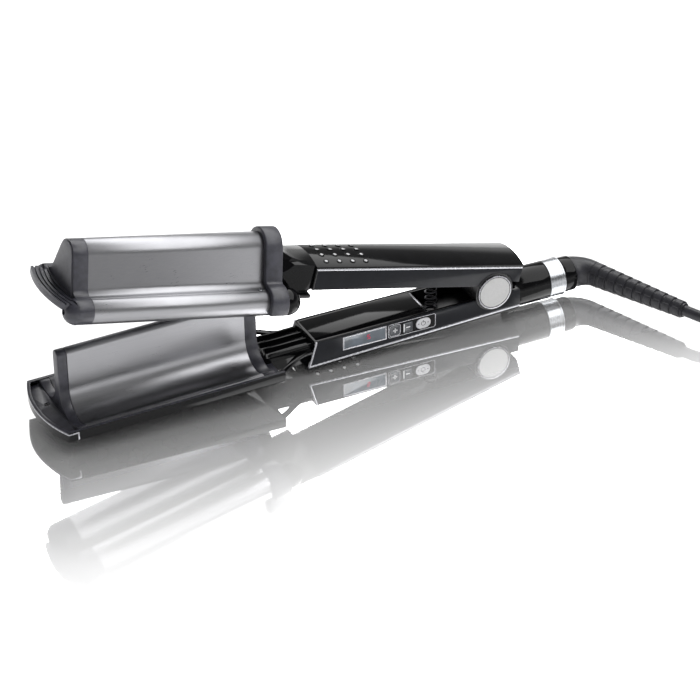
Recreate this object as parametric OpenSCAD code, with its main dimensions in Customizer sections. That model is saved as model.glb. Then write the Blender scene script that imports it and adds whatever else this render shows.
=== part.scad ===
/* [Arms] */
// Height of the hinge axis above the surface the tool rests on
hinge_z = 24.7; // [23:0.1:28]
// Angle that the upper arm opens from its closed stop
open_angle = 13.7; // [10:0.1:15]
// Downward pitch of the jaws from the lower handle
jaw_pitch = 1.2; // [0.8:0.1:1.6]
// Length of the handles in front of the hinge axis
handle_len = 122; // [110:1:130]
// Length of the handles behind the hinge axis
handle_tail = 17.5; // [15:0.5:20]
// Width of both handles over the side panels
handle_w = 29; // [27:0.5:33]
// Rise of the crowned outer faces from edge to middle
crown_rise = 2.2; // [1:0.1:4]
// Straight edge of the crowned faces above the chrome lines
crown_edge = 1.2; // [0.8:0.1:2]
// Wall of the handle shells
shell_wall = 1.6; // [1.2:0.1:2.2]
// Thickness of the side panels
panel_t = 1.2; // [0.8:0.1:1.6]
// Thickness of the inner covers
cover_plate_t = 1.8; // [1.2:0.1:2.4]
// Height of the chrome lines
line_h = 1.2; // [0.8:0.1:1.6]

/* [Upper handle] */
// Distance from the hinge axis to the inner face of the upper handle
upper_inner = 3.6; // [3.2:0.1:4.4]
// The same distance behind the hinge, where it clears the swivel
upper_tail_inner = 6.4; // [6.2:0.1:7.5]
// Tilt of the upper handle's inner face from the lower handle's
upper_slope = 0.25; // [0:0.05:0.6]
// How far the upper handle stands forward of the lower one
upper_shift = 2; // [0:0.5:3]
// Height of the upper side panels at the front
upper_panel_front = 13.1; // [12:0.1:14]
// Height of the upper side panels at the rear
upper_panel_rear = 12.3; // [11.6:0.1:13]

/* [Lower handle] */
// Distance from the hinge axis to the inner face of the lower handle
lower_inner = 3.1; // [2.6:0.1:4]
// Height of the lower side panels at the front
lower_panel_front = 15.4; // [14.5:0.1:16]
// Height of the lower side panels at the rear
lower_panel_rear = 10.7; // [10:0.1:12]
// Rake of the lower side panels' front ends
lower_rake = 4.8; // [2:0.1:8]
// Distance from the hinge axis to the end of the lower inner cover
inner_cover_end = 44; // [41:0.5:50]

/* [Wave plates] */
// Distance from the hinge axis to the rear end of the wave plates
plate_rear = 157; // [154:1:164]
// Length of the wave plates
plate_len = 110; // [100:1:112]
// Width of the lower wave plate
plate_w = 57; // [56:0.5:60]
// Drop of the lower plate's side edges below the line through the hinge axis
edge_drop = 2.6; // [2.2:0.1:3]
// Radius of the two troughs of the lower plate
trough_r = 14; // [13:0.1:14.5]
// Depth of the troughs below the side edges
trough_depth = 2.8; // [2.4:0.1:2.9]
// Height of the centre fin above the side edges
fin_h = 36; // [32:0.5:36]
// Thickness of the centre fin
fin_t = 7; // [6:0.1:7.6]
// Gap left for hair between the closed plates
hair_gap = 0.6; // [0.5:0.1:1]
// Wall of both wave plates
plate_wall = 1.8; // [1.5:0.1:1.8]

/* [Upper jaw] */
// Radius of the rounded outer side of the upper lobes
lobe_r = 7.5; // [7:0.1:8]
// Angle where the lobes' rounded side begins
lobe_turn = 50; // [45:1:55]
// Height of the upper cover's crest above the lower plate's side edges
hump_h = 40.4; // [40.2:0.1:44]
// Radius of the crest of the upper cover
hump_r = 9.2; // [8.6:0.1:10]
// Flare of the upper cover's sides from upright
hump_flare = 20.3; // [18:0.1:22]
// Fillet where the upper cover meets the lobes
hump_fillet = 5; // [4.6:0.1:5.4]
// Wall of the upper cover
cover_wall = 1.6; // [1.2:0.1:2]
// Thickness of the upper jaw's front cap
upper_cap_t = 9; // [7:0.5:10]
// Thickness of the upper jaw's rear flange
upper_flange_t = 11; // [8:0.5:12]
// Step of the rear flange over the upper cover
flange_proud = 2.8; // [1.5:0.1:3]
// How far the front cap's face stands proud
face_proud = 0.8; // [0.5:0.1:1.2]
// Thickness of the front cap's face behind its front
face_back = 0.7; // [0.5:0.1:0.8]
// Step in from the hump's outline to the front cap's face
face_inset = 1; // [0.6:0.1:1.4]
// Reach of the ribbed lip from the hinge axis
lip_reach = 289; // [286:0.5:292]
// Width of the ribbed lip
lip_w = 46; // [40:1:48]
// Thickness of the ribbed lip
lip_t = 3.4; // [2.5:0.1:3.6]
// Height of the lip's upper face above the lower plate's side edges
lip_rise = 12.9; // [12:0.1:13.4]
// Number of grooves across the lip
lip_grooves = 4; // [2:1:4]
// Pitch of the grooves across the lip
groove_pitch = 2.5; // [2:0.1:2.6]

/* [Lower jaw] */
// Length of the tray's bow in front of the front cap
tray_nose = 13.5; // [12:0.5:18]
// Radius of the tray's bowed front
bow_r = 72; // [65:1:90]
// How far the tray stands out beside the plate
tray_margin = 2.5; // [2.3:0.1:4.5]
// Distance from the hinge axis to the rear end of the tray
tray_rear = 144.5; // [142:0.5:148]
// Height of the tray's side walls
tray_wall_h = 5.8; // [5.8:0.1:7]
// Thickness of the tray's walls
tray_wall = 2; // [1.5:0.1:2.2]
// Drop of the front apron below the tray's rim
apron_drop = 3; // [2.9:0.1:3.4]
// Thickness of the lower jaw's front cap
lower_cap_t = 6; // [4:0.5:7]
// Thickness of the lower jaw's rear flange
lower_flange_t = 7.5; // [6:0.5:8]
// Wall of the hull
hull_wall = 1.6; // [1.2:0.1:2]
// Distance of the thermostat from the plate's rear end
thermostat_gap = 40; // [20:1:70]
// Length of the thermostat
thermostat_len = 20; // [12:1:26]
// How far the hull draws in on each side down to its flat bottom
keel_draw = 17.5; // [14:0.5:19]

/* [Hinge] */
// Diameter of the hinge pin
pin_d = 6; // [5:0.1:7]
// Running clearance of the upper knuckle on the pin, on the radius
pin_clear = 0.05; // [0.03:0.01:0.08]
// Diameter of the round hinge ears
ear_d = 24.4; // [23:0.1:25]
// Diameter of the bright discs over the ears
disc_d = 22; // [20:0.1:22.6]
// Thickness of the bright discs
disc_t = 1.1; // [0.8:0.1:1.6]
// Width of the upper arm's knuckle
knuckle_w = 18; // [14:0.5:20]
// Clearance between the two arms round the hinge
hinge_clear = 0.3; // [0.25:0.05:0.5]

/* [Opening spring] */
// Distance from the hinge axis to the middle of the spring
spring_reach = 34.5; // [32:0.5:36]
// Mean diameter of the spring
spring_d = 7; // [6:0.1:8]
// Wire of the spring
spring_wire = 1.1; // [0.9:0.1:1.3]
// Number of turns of the spring
spring_turns = 6; // [5:1:8]

/* [Controls] */
// Height of the controls' middle line below the hinge axis
control_drop = 8.5; // [8.2:0.1:8.8]
// Distance from the hinge axis to the middle of the display
display_reach = 85.5; // [84.5:0.5:88]
// Length of the display window
display_len = 27; // [24:0.5:28]
// Height of the display window
display_h = 7.5; // [6:0.1:7.8]
// Width of the silver frame round the display
bezel_w = 0.8; // [0.5:0.1:1]
// Height of the square buttons
button_h = 6.6; // [5.5:0.1:7]
// Length of the plus and minus buttons
button_len = 6.2; // [5.5:0.1:6.4]
// Length of the oval power button
power_len = 9.5; // [9:0.1:10]
// Gap between the display's frame and the plus button
plus_gap = 2.3; // [1.8:0.1:2.5]
// Gap between the plus and minus buttons
minus_gap = 2.1; // [1.8:0.1:2.4]
// Gap between the minus and power buttons
power_gap = 2.45; // [2.2:0.05:2.7]
// Travel of the buttons
button_travel = 0.5; // [0.4:0.1:0.6]
// How far the buttons stand out of the panel
button_proud = 0.5; // [0.4:0.1:0.8]

/* [Swivel] */
// Drop of the swivel axis below the hinge axis
swivel_drop = 10.4; // [10:0.1:11]
// Diameter of the swivel housing and its ring
swivel_d = 23.2; // [22:0.1:23.6]
// Length of the swivel housing behind the handle
housing_len = 23.1; // [20:0.1:26]
// Length of the steel ring
ring_len = 10.4; // [8:0.1:12]
// Length of the turning collar
collar_len = 7.7; // [6:0.1:9]
// Diameter of the turning spindle inside the housing
spindle_d = 14; // [12:0.1:15]
// Bend of the elbow
elbow_bend = 66; // [50:1:75]
// Bend radius of the elbow
elbow_r = 14; // [13:0.5:18]
// Diameter of the elbow at the collar
elbow_d1 = 19.6; // [17:0.1:20]
// Diameter of the elbow at the sleeve
elbow_d2 = 14.8; // [13:0.1:16]
// Length of the ribbed sleeve
sleeve_len = 66; // [50:1:70]
// Diameter of the sleeve at its thin end
sleeve_d2 = 10.4; // [9.6:0.1:12]
// Number of ribs on the sleeve
sleeve_ribs = 10; // [6:1:14]

/* [Cord] */
// Diameter of the cord
cord_d = 6.8; // [6.4:0.1:7]
// Radius of the coil's outer loops
coil_out = 46; // [44:1:50]
// Step between neighbouring loops and layers of the coil
coil_step = 7.3; // [7.25:0.05:7.6]
// Turns in each layer of the coil
coil_turns = 2.5; // [1.5:1:2.5]
// Number of layers in the coil
coil_layers = 4; // [2:2:4]
// Width of the plug
plug_w = 35; // [33:0.5:38]
// Thickness of the plug
plug_t = 13.7; // [13.2:0.1:16]
// Length of the plug's body
plug_len = 36; // [32:1:40]
// Diameter of the plug's pins
prong_d = 4; // [3.9:0.1:4.1]
// Length of the plug's pins
prong_len = 19; // [18:0.5:20]
// Distance between the plug's pins
prong_gap = 18.6; // [17.5:0.1:19]

/* [Hidden] */
$fn = 64;

// Places shared by the two jaws, in the hinge's frame with the arms closed
plate_front = plate_rear + plate_len;
// Reach of the tray's bow from the hinge axis
tray_reach = plate_front + lower_cap_t + tray_nose;
tray_w = plate_w + 2 * tray_margin;
keel_w = tray_w - 2 * keel_draw;
// Distances from the hinge axis to the middles of the buttons
plus_reach = display_reach - display_len / 2 - bezel_w - plus_gap - button_len / 2;
minus_reach = plus_reach - button_len - minus_gap;
power_reach = minus_reach - button_len / 2 - power_gap - power_len / 2;
plate_half = plate_w / 2;
fin_half = fin_t / 2;
trough_y = fin_half + trough_r;
trough_z = trough_r - trough_depth - edge_drop;
fin_z = fin_h - edge_drop - fin_half;
lobe_y = trough_y + (trough_r - hair_gap - lobe_r) * cos(lobe_turn);
lobe_z = trough_z - (trough_r - hair_gap - lobe_r) * sin(lobe_turn);
foot_z = lobe_z + lobe_r;
hump_z = hump_h - edge_drop - hump_r;
channel_half = fin_half + hair_gap;
// Middle of the fillet at the foot of the upper cover
fillet_z = foot_z + hump_fillet;
fillet_y = (hump_r + hump_fillet + (hump_z - fillet_z) * sin(hump_flare)) / cos(hump_flare);
// Levels of the tray, in the hinge's frame
rim_z = -edge_drop;
tray_floor_z = rim_z - tray_wall_h;
liner_t = 1;
liner_top = tray_floor_z + liner_t;
apron_z = rim_z - apron_drop;
trim_h = 1;
rim_lip = 0.8;
bow_x = -(plate_front + lower_cap_t);
// Middle of the tray's floor, in the lower handle's frame
floor_mid = tray_floor_z - (tray_reach + tray_rear) / 2 * sin(jaw_pitch);
// Levels and widths of the handles
side_half = handle_w / 2 - panel_t;
cavity_half = side_half - shell_wall;
ear_r = ear_d / 2;
knuckle_half = knuckle_w / 2;
recess_r = ear_r + hinge_clear;
// Overlap that joins the side walls to the crowned face
crown_join = 0.3;
crown_r = (pow(handle_w / 2, 2) + pow(crown_rise, 2)) / (2 * crown_rise);
frame_t = 2.2;
lower_frame_gap = 8;
neck_gap = 0.5;
neck_half = 12;
neck_top = rim_z - 1.7;
neck_sink = handle_len * sin(jaw_pitch);
neck_arm_t = 4;
neck_fins = 4;
keel_t = 0.5;
heater_low = rim_z - 1;
liner_screw = [-plate_front - 10, 7];
liner_screw_d = 3.6;
cap_screw_d = 3.4;
cap_screw_depth = 4;
lip_z = lip_rise - edge_drop;
lip_notch = 3;
lip_edge = 1.6;
groove_w = 0.9;
groove_depth = 0.9;
rivet_d = 2.6;
cap_x = -plate_front - upper_cap_t;
nose_x = cap_x + 0.5;
nose_front = nose_x - lobe_r;
scoop_r = 17;
foot_half = 16;
foot_t = 2.2;
trim_proud = 0.15;
dot_d = 3.4;
dot_h = 0.4;
dot_rows = 4;
dot_cols = 4;
dot_first = 8;
dot_pitch = 8.75;
dot_step = 6.5;
button_clear = 0.15;
button_lip = 0.5;
sleeve_groove = 1.3;
sleeve_cut = 0.9;
button_face = -handle_w / 2 - button_proud;
flange_face = -side_half + 0.25;
flange_back = flange_face + 0.8;
switch_face = flange_back + button_travel + 0.1;
board_face = -cavity_half + 3;
board_t = 1.4;
board_back = board_face + board_t;
board_top = -lower_inner - cover_plate_t - 0.2;
head_d = spindle_d + 4;
head_start = handle_tail + 4;
head_len = 3;
// Stack of the swivel behind the hinge axis
housing_end = handle_tail + housing_len;
ring_end = housing_end + ring_len;
collar_start = ring_end + 0.3;
collar_end = collar_start + collar_len;
elbow_end = [collar_end + elbow_r * sin(elbow_bend), -elbow_r * (1 - cos(elbow_bend)), 0];
elbow_dir = [cos(elbow_bend), -sin(elbow_bend), 0];
tail_reach = collar_end + (elbow_r + elbow_d2 / 2) * sin(elbow_bend);
// The origin lies under the middle of the tool without its sleeve and cord
hinge_x = (tray_reach * cos(jaw_pitch) - tail_reach) / 2;
swivel_z = hinge_z - swivel_drop;
sleeve_start = [hinge_x, 0, swivel_z] + elbow_end;
sleeve_end = sleeve_start + sleeve_len * elbow_dir;
// The coil lies flat on the resting surface
coil_centre = [282, -64];
coil_angle = 250;
coil_base = cord_d / 2;
coil_total = coil_turns * coil_layers;
coil_rings = 24;
coil_sides = 6;
coil_dir = [-sin(coil_angle), cos(coil_angle), 0];
coil_in = [coil_centre[0] + coil_out * cos(coil_angle),
    coil_centre[1] + coil_out * sin(coil_angle), coil_base];
coil_start = coil_in - cord_d * coil_dir;
coil_end = coil_in + [0, 0, (coil_layers - 1) * coil_step] + cord_d * coil_dir;
// The plug lies flat on the resting surface
plug_pos = [354.3, -71.5, plug_t / 2];
plug_turn = 75;
plug_dir = [cos(plug_turn), sin(plug_turn), 0];
cord_route = concat(
    [sleeve_end, sleeve_end + cord_d * elbow_dir],
    [[210.7, -83.4, 13.6], [218.1, -90.4, 11.9], [227.1, -95.1, 8.6], [236.6, -97.8, 5.5],
        [245.6, -100.3, 3.9]],
    [coil_start - cord_d * coil_dir, coil_start]);
lead_route = concat(
    [coil_end, coil_end + cord_d * coil_dir],
    [[289.9, -115.8, 24.7], [300.8, -119.8, 22.2], [315.5, -121.9, 17.6], [329.8, -117.9, 12.9],
        [341.2, -108.5, 9.2], [347.9, -95.3, 7.2]],
    [plug_pos - 2 * cord_d * plug_dir, plug_pos - cord_d * plug_dir, plug_pos]);

// Spiral in and out in turn, one layer at a time, with a climb where it turns back
function coil_radius(t) =
    let (k = floor(min(t, coil_total - 0.001) / coil_turns), f = t - k * coil_turns)
    coil_out - coil_step * (k % 2 == 0 ? f : coil_turns - f);
function coil_rise(t, k = 1) = k > coil_layers - 1 ? 0 :
    let (s = min(1, max(0, (t - k * coil_turns + 0.25) * 2)))
    coil_step * s * s * (3 - 2 * s) + coil_rise(t, k + 1);
coil_loops = [for (i = [0:coil_total * coil_rings])
    let (t = i / coil_rings, a = coil_angle + 360 * t)
    [coil_centre[0] + coil_radius(t) * cos(a), coil_centre[1] + coil_radius(t) * sin(a),
        coil_base + coil_rise(t)]];

function arc(c, r, a0, a1, n) =
    [for (i = [0:n]) c + r * [cos(a0 + (a1 - a0) * i / n), sin(a0 + (a1 - a0) * i / n)]];
function flip(pts) = [for (p = pts) [-p[0], p[1]]];
function reversed(pts) = [for (i = [len(pts) - 1:-1:0]) pts[i]];
function tail(pts) = [for (i = [1:len(pts) - 1]) pts[i]];
function unit(v) = v / norm(v);
// Closed outline from a half path and its mirror, both starting on the middle line
function mirrored_band(over, under) =
    concat(over, reversed(under), tail(flip(under)), reversed(tail(flip(over))));
// Upper side of the lower plate from the fin's crest to the side edge, sunk by the wall given
function lower_path(wall) = concat(
    arc([0, fin_z], fin_half - wall, 90, 0, 10),
    arc([trough_y, trough_z], trough_r + wall, 180, 360 - asin((trough_z + edge_drop + wall)
        / (trough_r + wall)), 20),
    [[plate_half, -edge_drop - wall]]);
// Underside of the upper plate from the channel's crest to where the lobe's side begins
function channel_path(wall) = concat(
    arc([0, fin_z], channel_half + wall, 90, 0, 10),
    arc([trough_y, trough_z], trough_r - hair_gap - wall, 180, 360 - lobe_turn, 20));
// The same, on round the side of the lobe to its top
function upper_path(wall) = concat(channel_path(wall),
    tail(arc([lobe_y, lobe_z], lobe_r - wall, -lobe_turn, 90, 18)));
// Outer side of the upper cover from its crest to its foot on the lobe
function cover_path(wall) = concat(
    arc([0, hump_z], hump_r - wall, 90, hump_flare, 12),
    arc([fillet_y, fillet_z], hump_fillet + wall, 180 + hump_flare, 270, 8),
    [[lobe_y, foot_z - wall]]);
// Outside of the whole upper jaw, grown by the step given
function jaw_path(grow) = concat(
    arc([0, hump_z], hump_r + grow, 90, hump_flare, 12),
    arc([fillet_y, fillet_z], hump_fillet - grow, 180 + hump_flare, 270, 8),
    arc([lobe_y, lobe_z], lobe_r + grow, 90, -lobe_turn / 2, 14));

module in_lower() {
    translate([hinge_x, 0, hinge_z]) children();
}
module in_upper() {
    in_lower() rotate([0, open_angle, 0]) children();
}
// The jaws are pitched down from the handles
module in_lower_jaw() {
    in_lower() rotate([0, -jaw_pitch, 0]) children();
}
module in_upper_jaw() {
    in_upper() rotate([0, -jaw_pitch, 0]) children();
}
// The handles are drawn with their outer side up and the hinge axis at the origin
module in_lower_handle() {
    in_lower() mirror([0, 0, 1]) children();
}
module in_upper_handle() {
    in_upper() rotate([0, upper_slope, 0]) translate([-upper_shift, 0, 0]) children();
}
module along_x(x0, x1) {
    translate([x0, 0, 0]) rotate([90, 0, 90]) linear_extrude(x1 - x0) children();
}
module along_y(y0, y1) {
    translate([0, y1, 0]) rotate([90, 0, 0]) linear_extrude(y1 - y0) children();
}
module rod_y(d, y0, y1) {
    translate([0, y0, 0]) rotate([-90, 0, 0]) cylinder(d = d, h = y1 - y0);
}
module rod_x(d, x0, x1) {
    translate([x0, 0, 0]) rotate([0, 90, 0]) cylinder(d = d, h = x1 - x0);
}
module box(x0, x1, y0, y1, z0, z1) {
    translate([x0, y0, z0]) cube([x1 - x0, y1 - y0, z1 - z0]);
}
module both_sides() {
    children();
    mirror([0, 1, 0]) children();
}

// Tube of round section swept along a list of points
function sweep_dir(pts, i) =
    unit(pts[min(i + 1, len(pts) - 1)] - pts[max(i - 1, 0)]);
function sweep_ring(p, d, r, sides) =
    let (a = unit(cross(d, [0, 0, 1])), b = cross(a, d))
    [for (k = [0:sides - 1]) p + r * (cos(k * 360 / sides) * a + sin(k * 360 / sides) * b)];
module ring_stack(rings) {
    sides = len(rings[0]);
    last_start = (len(rings) - 1) * sides;
    walls = [for (i = [0:len(rings) - 2], k = [0:sides - 1])
        let (k1 = (k + 1) % sides, a = i * sides, b = a + sides)
        each [[a + k, b + k1, b + k], [a + k, a + k1, b + k1]]];
    first = [for (k = [sides - 1:-1:0]) k];
    last = [for (k = [0:sides - 1]) last_start + k];
    polyhedron([for (r = rings) each r], concat(walls, [first, last]), convexity = 6);
}
module swept_tube(pts, r, sides) {
    ring_stack([for (i = [0:len(pts) - 1]) sweep_ring(pts[i], sweep_dir(pts, i), r, sides)]);
}

// Tray outline in plan, drawn in by the inset given
module tray_plan(inset) {
    intersection() {
        translate([-tray_reach + inset, -tray_w / 2 + inset])
            square([tray_reach - tray_rear - 2 * inset, tray_w - 2 * inset]);
        union() {
            translate([-tray_reach + bow_r, 0]) circle(bow_r - inset, $fn = 96);
            translate([-tray_reach + bow_r, -tray_w / 2]) square([tray_reach, tray_w]);
        }
    }
}
module slab(z0, z1) {
    translate([0, 0, z0]) linear_extrude(z1 - z0) children();
}
// The bowed front end of the tray and the straight rest of it
module bow_part(at = bow_x) {
    intersection() {
        children();
        box(-2 * tray_reach, at, -tray_w, tray_w, -hinge_z, hinge_z);
    }
}
module straight_part() {
    difference() {
        children();
        box(-2 * tray_reach, bow_x, -tray_w, tray_w, -2 * hinge_z, hinge_z);
    }
}
module tray_ring(z0, z1, wall) {
    slab(z0, z1) difference() {
        tray_plan(0);
        tray_plan(wall);
    }
}
// Boat-shaped bottom under the tray, drawn in by the wall given
module hull_bottom(wall) {
    depth = hinge_z + floor_mid;
    draw_in = (tray_w - keel_w) / 2;
    hull() {
        in_lower_jaw() slab(tray_floor_z - 0.1, tray_floor_z) tray_plan(wall);
        in_lower() slab(floor_mid - 0.5 * depth, floor_mid - 0.5 * depth + 0.1)
            tray_plan(wall + 0.46 * draw_in);
        in_lower() slab(-hinge_z + wall + keel_t / 2, -hinge_z + wall + keel_t)
            tray_plan(wall + draw_in);
    }
}
module lower_hull() {
    color("#161618") {
        difference() {
            hull_bottom(0);
            hull_bottom(hull_wall);
            translate([0, 0, hull_wall]) hull_bottom(2 * hull_wall);
        }
        in_lower() slab(-hinge_z, -hinge_z + keel_t) tray_plan((tray_w - keel_w) / 2);
        in_lower_jaw() bow_part(bow_x - trim_h)
            tray_ring(tray_floor_z - 0.1, rim_z - rim_lip - trim_h, hull_wall);
    }
}
module tray_trim() {
    color("#b8b8b8") in_lower_jaw() {
        bow_part() tray_ring(rim_z - rim_lip - trim_h, rim_z - rim_lip, hull_wall);
        difference() {
            bow_part() tray_ring(tray_floor_z, rim_z - rim_lip - trim_h, hull_wall);
            box(-2 * tray_reach, bow_x - trim_h, -tray_w, tray_w, -hinge_z, hinge_z);
        }
    }
}
module lower_liner() {
    inner_half = tray_w / 2 - tray_wall;
    color("#4a4a52") in_lower_jaw() difference() {
        union() {
            straight_part() slab(tray_floor_z, liner_top) tray_plan(0);
            straight_part() tray_ring(tray_floor_z, rim_z, tray_wall);
            bow_part() slab(tray_floor_z, apron_z) tray_plan(hull_wall);
            bow_part() tray_ring(rim_z - rim_lip, rim_z, tray_wall);
            both_sides() box(-plate_front, -plate_rear, plate_half - 1.3, inner_half,
                liner_top, rim_z - plate_wall);
        }
        box(-tray_rear - tray_wall - 1, 0, -inner_half, inner_half, liner_top, hinge_z);
        translate([liner_screw[0], liner_screw[1], liner_top]) cylinder(d = liner_screw_d, h = 10);
    }
}
module liner_screws() {
    color("#8a8a8e") in_lower_jaw() translate([liner_screw[0], liner_screw[1], liner_top]) difference() {
        cylinder(d = liner_screw_d, h = apron_z - liner_top - 0.4);
        translate([-liner_screw_d, -0.3, apron_z - liner_top - 0.9]) cube([2 * liner_screw_d, 0.6, 1]);
        translate([-0.3, -liner_screw_d, apron_z - liner_top - 0.9]) cube([0.6, 2 * liner_screw_d, 1]);
    }
}
module lower_wave_plate() {
    color("#9d9da2") in_lower_jaw() along_x(-plate_front, -plate_rear)
        polygon(mirrored_band(lower_path(0), lower_path(plate_wall)));
}
// Solid block with the lower plate's section, down to the tray's floor
module lower_section() {
    polygon(concat(lower_path(0), [[plate_half, liner_top], [-plate_half, liner_top]],
        reversed(tail(flip(lower_path(0))))));
}
module lower_front_cap() {
    color("#4a4a52") in_lower_jaw() along_x(-plate_front - lower_cap_t, -plate_front) lower_section();
}
module lower_rear_flange() {
    color("#4a4a52") in_lower_jaw() along_x(-plate_rear, -plate_rear + lower_flange_t) lower_section();
}
module lower_heater() {
    half = fin_half - plate_wall;
    color("#c9b27c") in_lower_jaw()
        box(-plate_front + 4, -plate_rear - 4, -half, half, heater_low, fin_z - 1);
}
module lower_thermostat() {
    color("#d8d2c4") in_lower_jaw() {
        box(-plate_rear - thermostat_gap - thermostat_len, -plate_rear - thermostat_gap,
            -4, 4, liner_top, heater_low);
    }
}
// Half width of the lower neck's outer arms at a distance from the hinge
function arm_half(x) = let (t = (x - handle_len) / (plate_rear - lower_flange_t - handle_len))
    handle_w / 2 + (plate_half - handle_w / 2) * (0.5 - 0.5 * cos(180 * min(1, max(0, t))));
module lower_neck() {
    x0 = -(plate_rear - lower_flange_t);
    x1 = -handle_len + lower_rake;
    fin_start = -plate_rear + upper_flange_t + 1;
    steps = 12;
    outer = [for (i = [0:steps]) let (x = x0 + (x1 - x0) * i / steps) [x, arm_half(-x)]];
    inner = [for (p = reversed(outer)) [p[0], p[1] - neck_arm_t]];
    color("#1b1b1e") difference() {
        in_lower_jaw() {
            box(x0, x1, -neck_half, neck_half, liner_top, neck_top);
            box(-tray_rear + neck_gap, x1, -neck_half + 2, neck_half - 2,
                -lower_inner - lower_panel_front + 1 + neck_sink, liner_top);
            for (k = [0:neck_fins - 1])
                let (y = -neck_half + 1.5 + k * (2 * neck_half - 3) / (neck_fins - 1))
                    box(fin_start, x1, y - 0.6, y + 0.6, neck_top, neck_top + 2);
            both_sides() slab(liner_top, neck_top - 1.5) polygon(concat(outer, inner));
        }
        in_lower_handle() along_y(-handle_w, handle_w)
            polygon(handle_side(lower_inner, lower_panel_front, lower_panel_rear, lower_rake));
    }
}

// Front edge of a handle at a height above its inner face
function front_edge(front, rake, h) = -handle_len + rake * (1 - h / (front + line_h / 2));
// Side outline of a handle up to the top of its chrome line
function handle_side(inner, front, rear, rake) = [
    [-handle_len + rake, inner], [handle_tail, inner],
    [handle_tail, inner + rear + line_h / 2], [-handle_len, inner + front + line_h / 2]];
// Place on the chrome line's top, with X along the line
module on_line(inner, front, rear) {
    translate([-handle_len, 0, inner + front + line_h / 2])
        rotate([0, atan((front - rear) / (handle_len + handle_tail)), 0]) children();
}
module crown_section() {
    intersection() {
        translate([0, crown_edge + crown_rise - crown_r]) circle(crown_r, $fn = 128);
        translate([-handle_w / 2, 0]) square([handle_w, crown_edge + crown_rise]);
    }
}
module handle_shell(inner, front, rear, rake) {
    wall_x = shell_wall * 1.05;
    line_top = line_h / 2;
    fall = front - rear;
    line_len = norm([handle_len + handle_tail, fall])
        - (crown_edge + crown_rise) * fall / (handle_len + handle_tail);
    difference() {
        union() {
            along_y(-side_half, side_half)
                polygon(handle_side(inner, front + crown_join, rear + crown_join, rake));
            on_line(inner, front, rear) along_x(0, line_len) crown_section();
        }
        along_y(-cavity_half, cavity_half) polygon([
            [-handle_len + rake + wall_x, inner - 1], [handle_tail - wall_x, inner - 1],
            [handle_tail - wall_x, inner + rear + line_top],
            [-handle_len + wall_x, inner + front + line_top]]);
    }
}
module side_panel(inner, front, rear, rake) {
    top = front - line_h / 2;
    start = front_edge(front, rake, top) + line_h;
    fall = (front - rear) / (handle_len + handle_tail);
    along_y(side_half, handle_w / 2) polygon([
        [-handle_len + rake + line_h, inner], [handle_tail, inner],
        [handle_tail, inner + rear - line_h / 2], [start, inner + top - fall * (start + handle_len)]]);
}
module side_trims(inner, front, rear, rake) {
    low = front - line_h / 2;
    both_sides() along_y(side_half, handle_w / 2 + trim_proud) {
        polygon([[front_edge(front, rake, low), inner + low], [handle_tail, inner + rear - line_h / 2],
            [handle_tail, inner + rear + line_h / 2], [-handle_len, inner + front + line_h / 2]]);
        polygon([[-handle_len + rake, inner], [-handle_len + rake + line_h, inner],
            [front_edge(front, rake, front) + line_h, inner + front],
            [front_edge(front, rake, front), inner + front]]);
    }
}
module grip_dots(inner, front, rear) {
    on_line(inner, front, rear) translate([0, 0, crown_edge + crown_rise - crown_r])
        for (i = [0:dot_cols - 1], k = [0:dot_rows - 1])
            translate([dot_first + i * dot_pitch, 0, 0])
                rotate([(k - (dot_rows - 1) / 2) * dot_step * 180 / PI / crown_r, 0, 0])
                    translate([0, 0, crown_r]) cylinder(d = dot_d, h = dot_h);
}

module lower_handle_shell() {
    color("#0f0f11") difference() {
        in_lower_handle() handle_shell(lower_inner, lower_panel_front, lower_panel_rear, lower_rake);
        in_lower() rod_y(ear_d + 0.2, -handle_w, handle_w);
        in_lower() box(-display_reach - display_len / 2 - 1, -power_reach + power_len / 2 + 1.5,
            -handle_w, 0, -control_drop - display_h / 2, -control_drop + display_h / 2);
    }
}
module lower_inner_cover() {
    color("#111113") in_lower_handle()
        box(-handle_len + lower_rake + shell_wall * 1.05, -inner_cover_end, -cavity_half, cavity_half,
            lower_inner, lower_inner + cover_plate_t);
}
module inner_cover_strip() {
    color("#9a9a9e") in_lower_handle()
        box(-inner_cover_end, -inner_cover_end + 1.4, -cavity_half, cavity_half,
            lower_inner, lower_inner + cover_plate_t + 2);
}
module lower_near_panel() {
    color("#24272e") difference() {
        in_lower_handle() mirror([0, 1, 0])
            side_panel(lower_inner, lower_panel_front, lower_panel_rear, lower_rake);
        in_lower() rod_y(ear_d + 0.2, -handle_w, handle_w);
        in_lower() control_hole(display_reach, display_len + 2 * bezel_w, display_h + 2 * bezel_w, 0);
        in_lower() control_hole(plus_reach, button_len, button_h, button_clear);
        in_lower() control_hole(minus_reach, button_len, button_h, button_clear);
        in_lower() oval_slot(button_clear, -handle_w, 0);
    }
}
module lower_far_panel() {
    color("#24272e") difference() {
        in_lower_handle() side_panel(lower_inner, lower_panel_front, lower_panel_rear, lower_rake);
        in_lower() rod_y(ear_d + 0.2, -handle_w, handle_w);
    }
}
module lower_side_trims() {
    color("#b8b8b8") difference() {
        in_lower_handle() side_trims(lower_inner, lower_panel_front, lower_panel_rear, lower_rake);
        in_lower() rod_y(ear_d + 0.2, -handle_w, handle_w);
    }
}
module lower_grip_dots() {
    color("#e8e8e8") in_lower_handle() grip_dots(lower_inner, lower_panel_front, lower_panel_rear);
}

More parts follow.
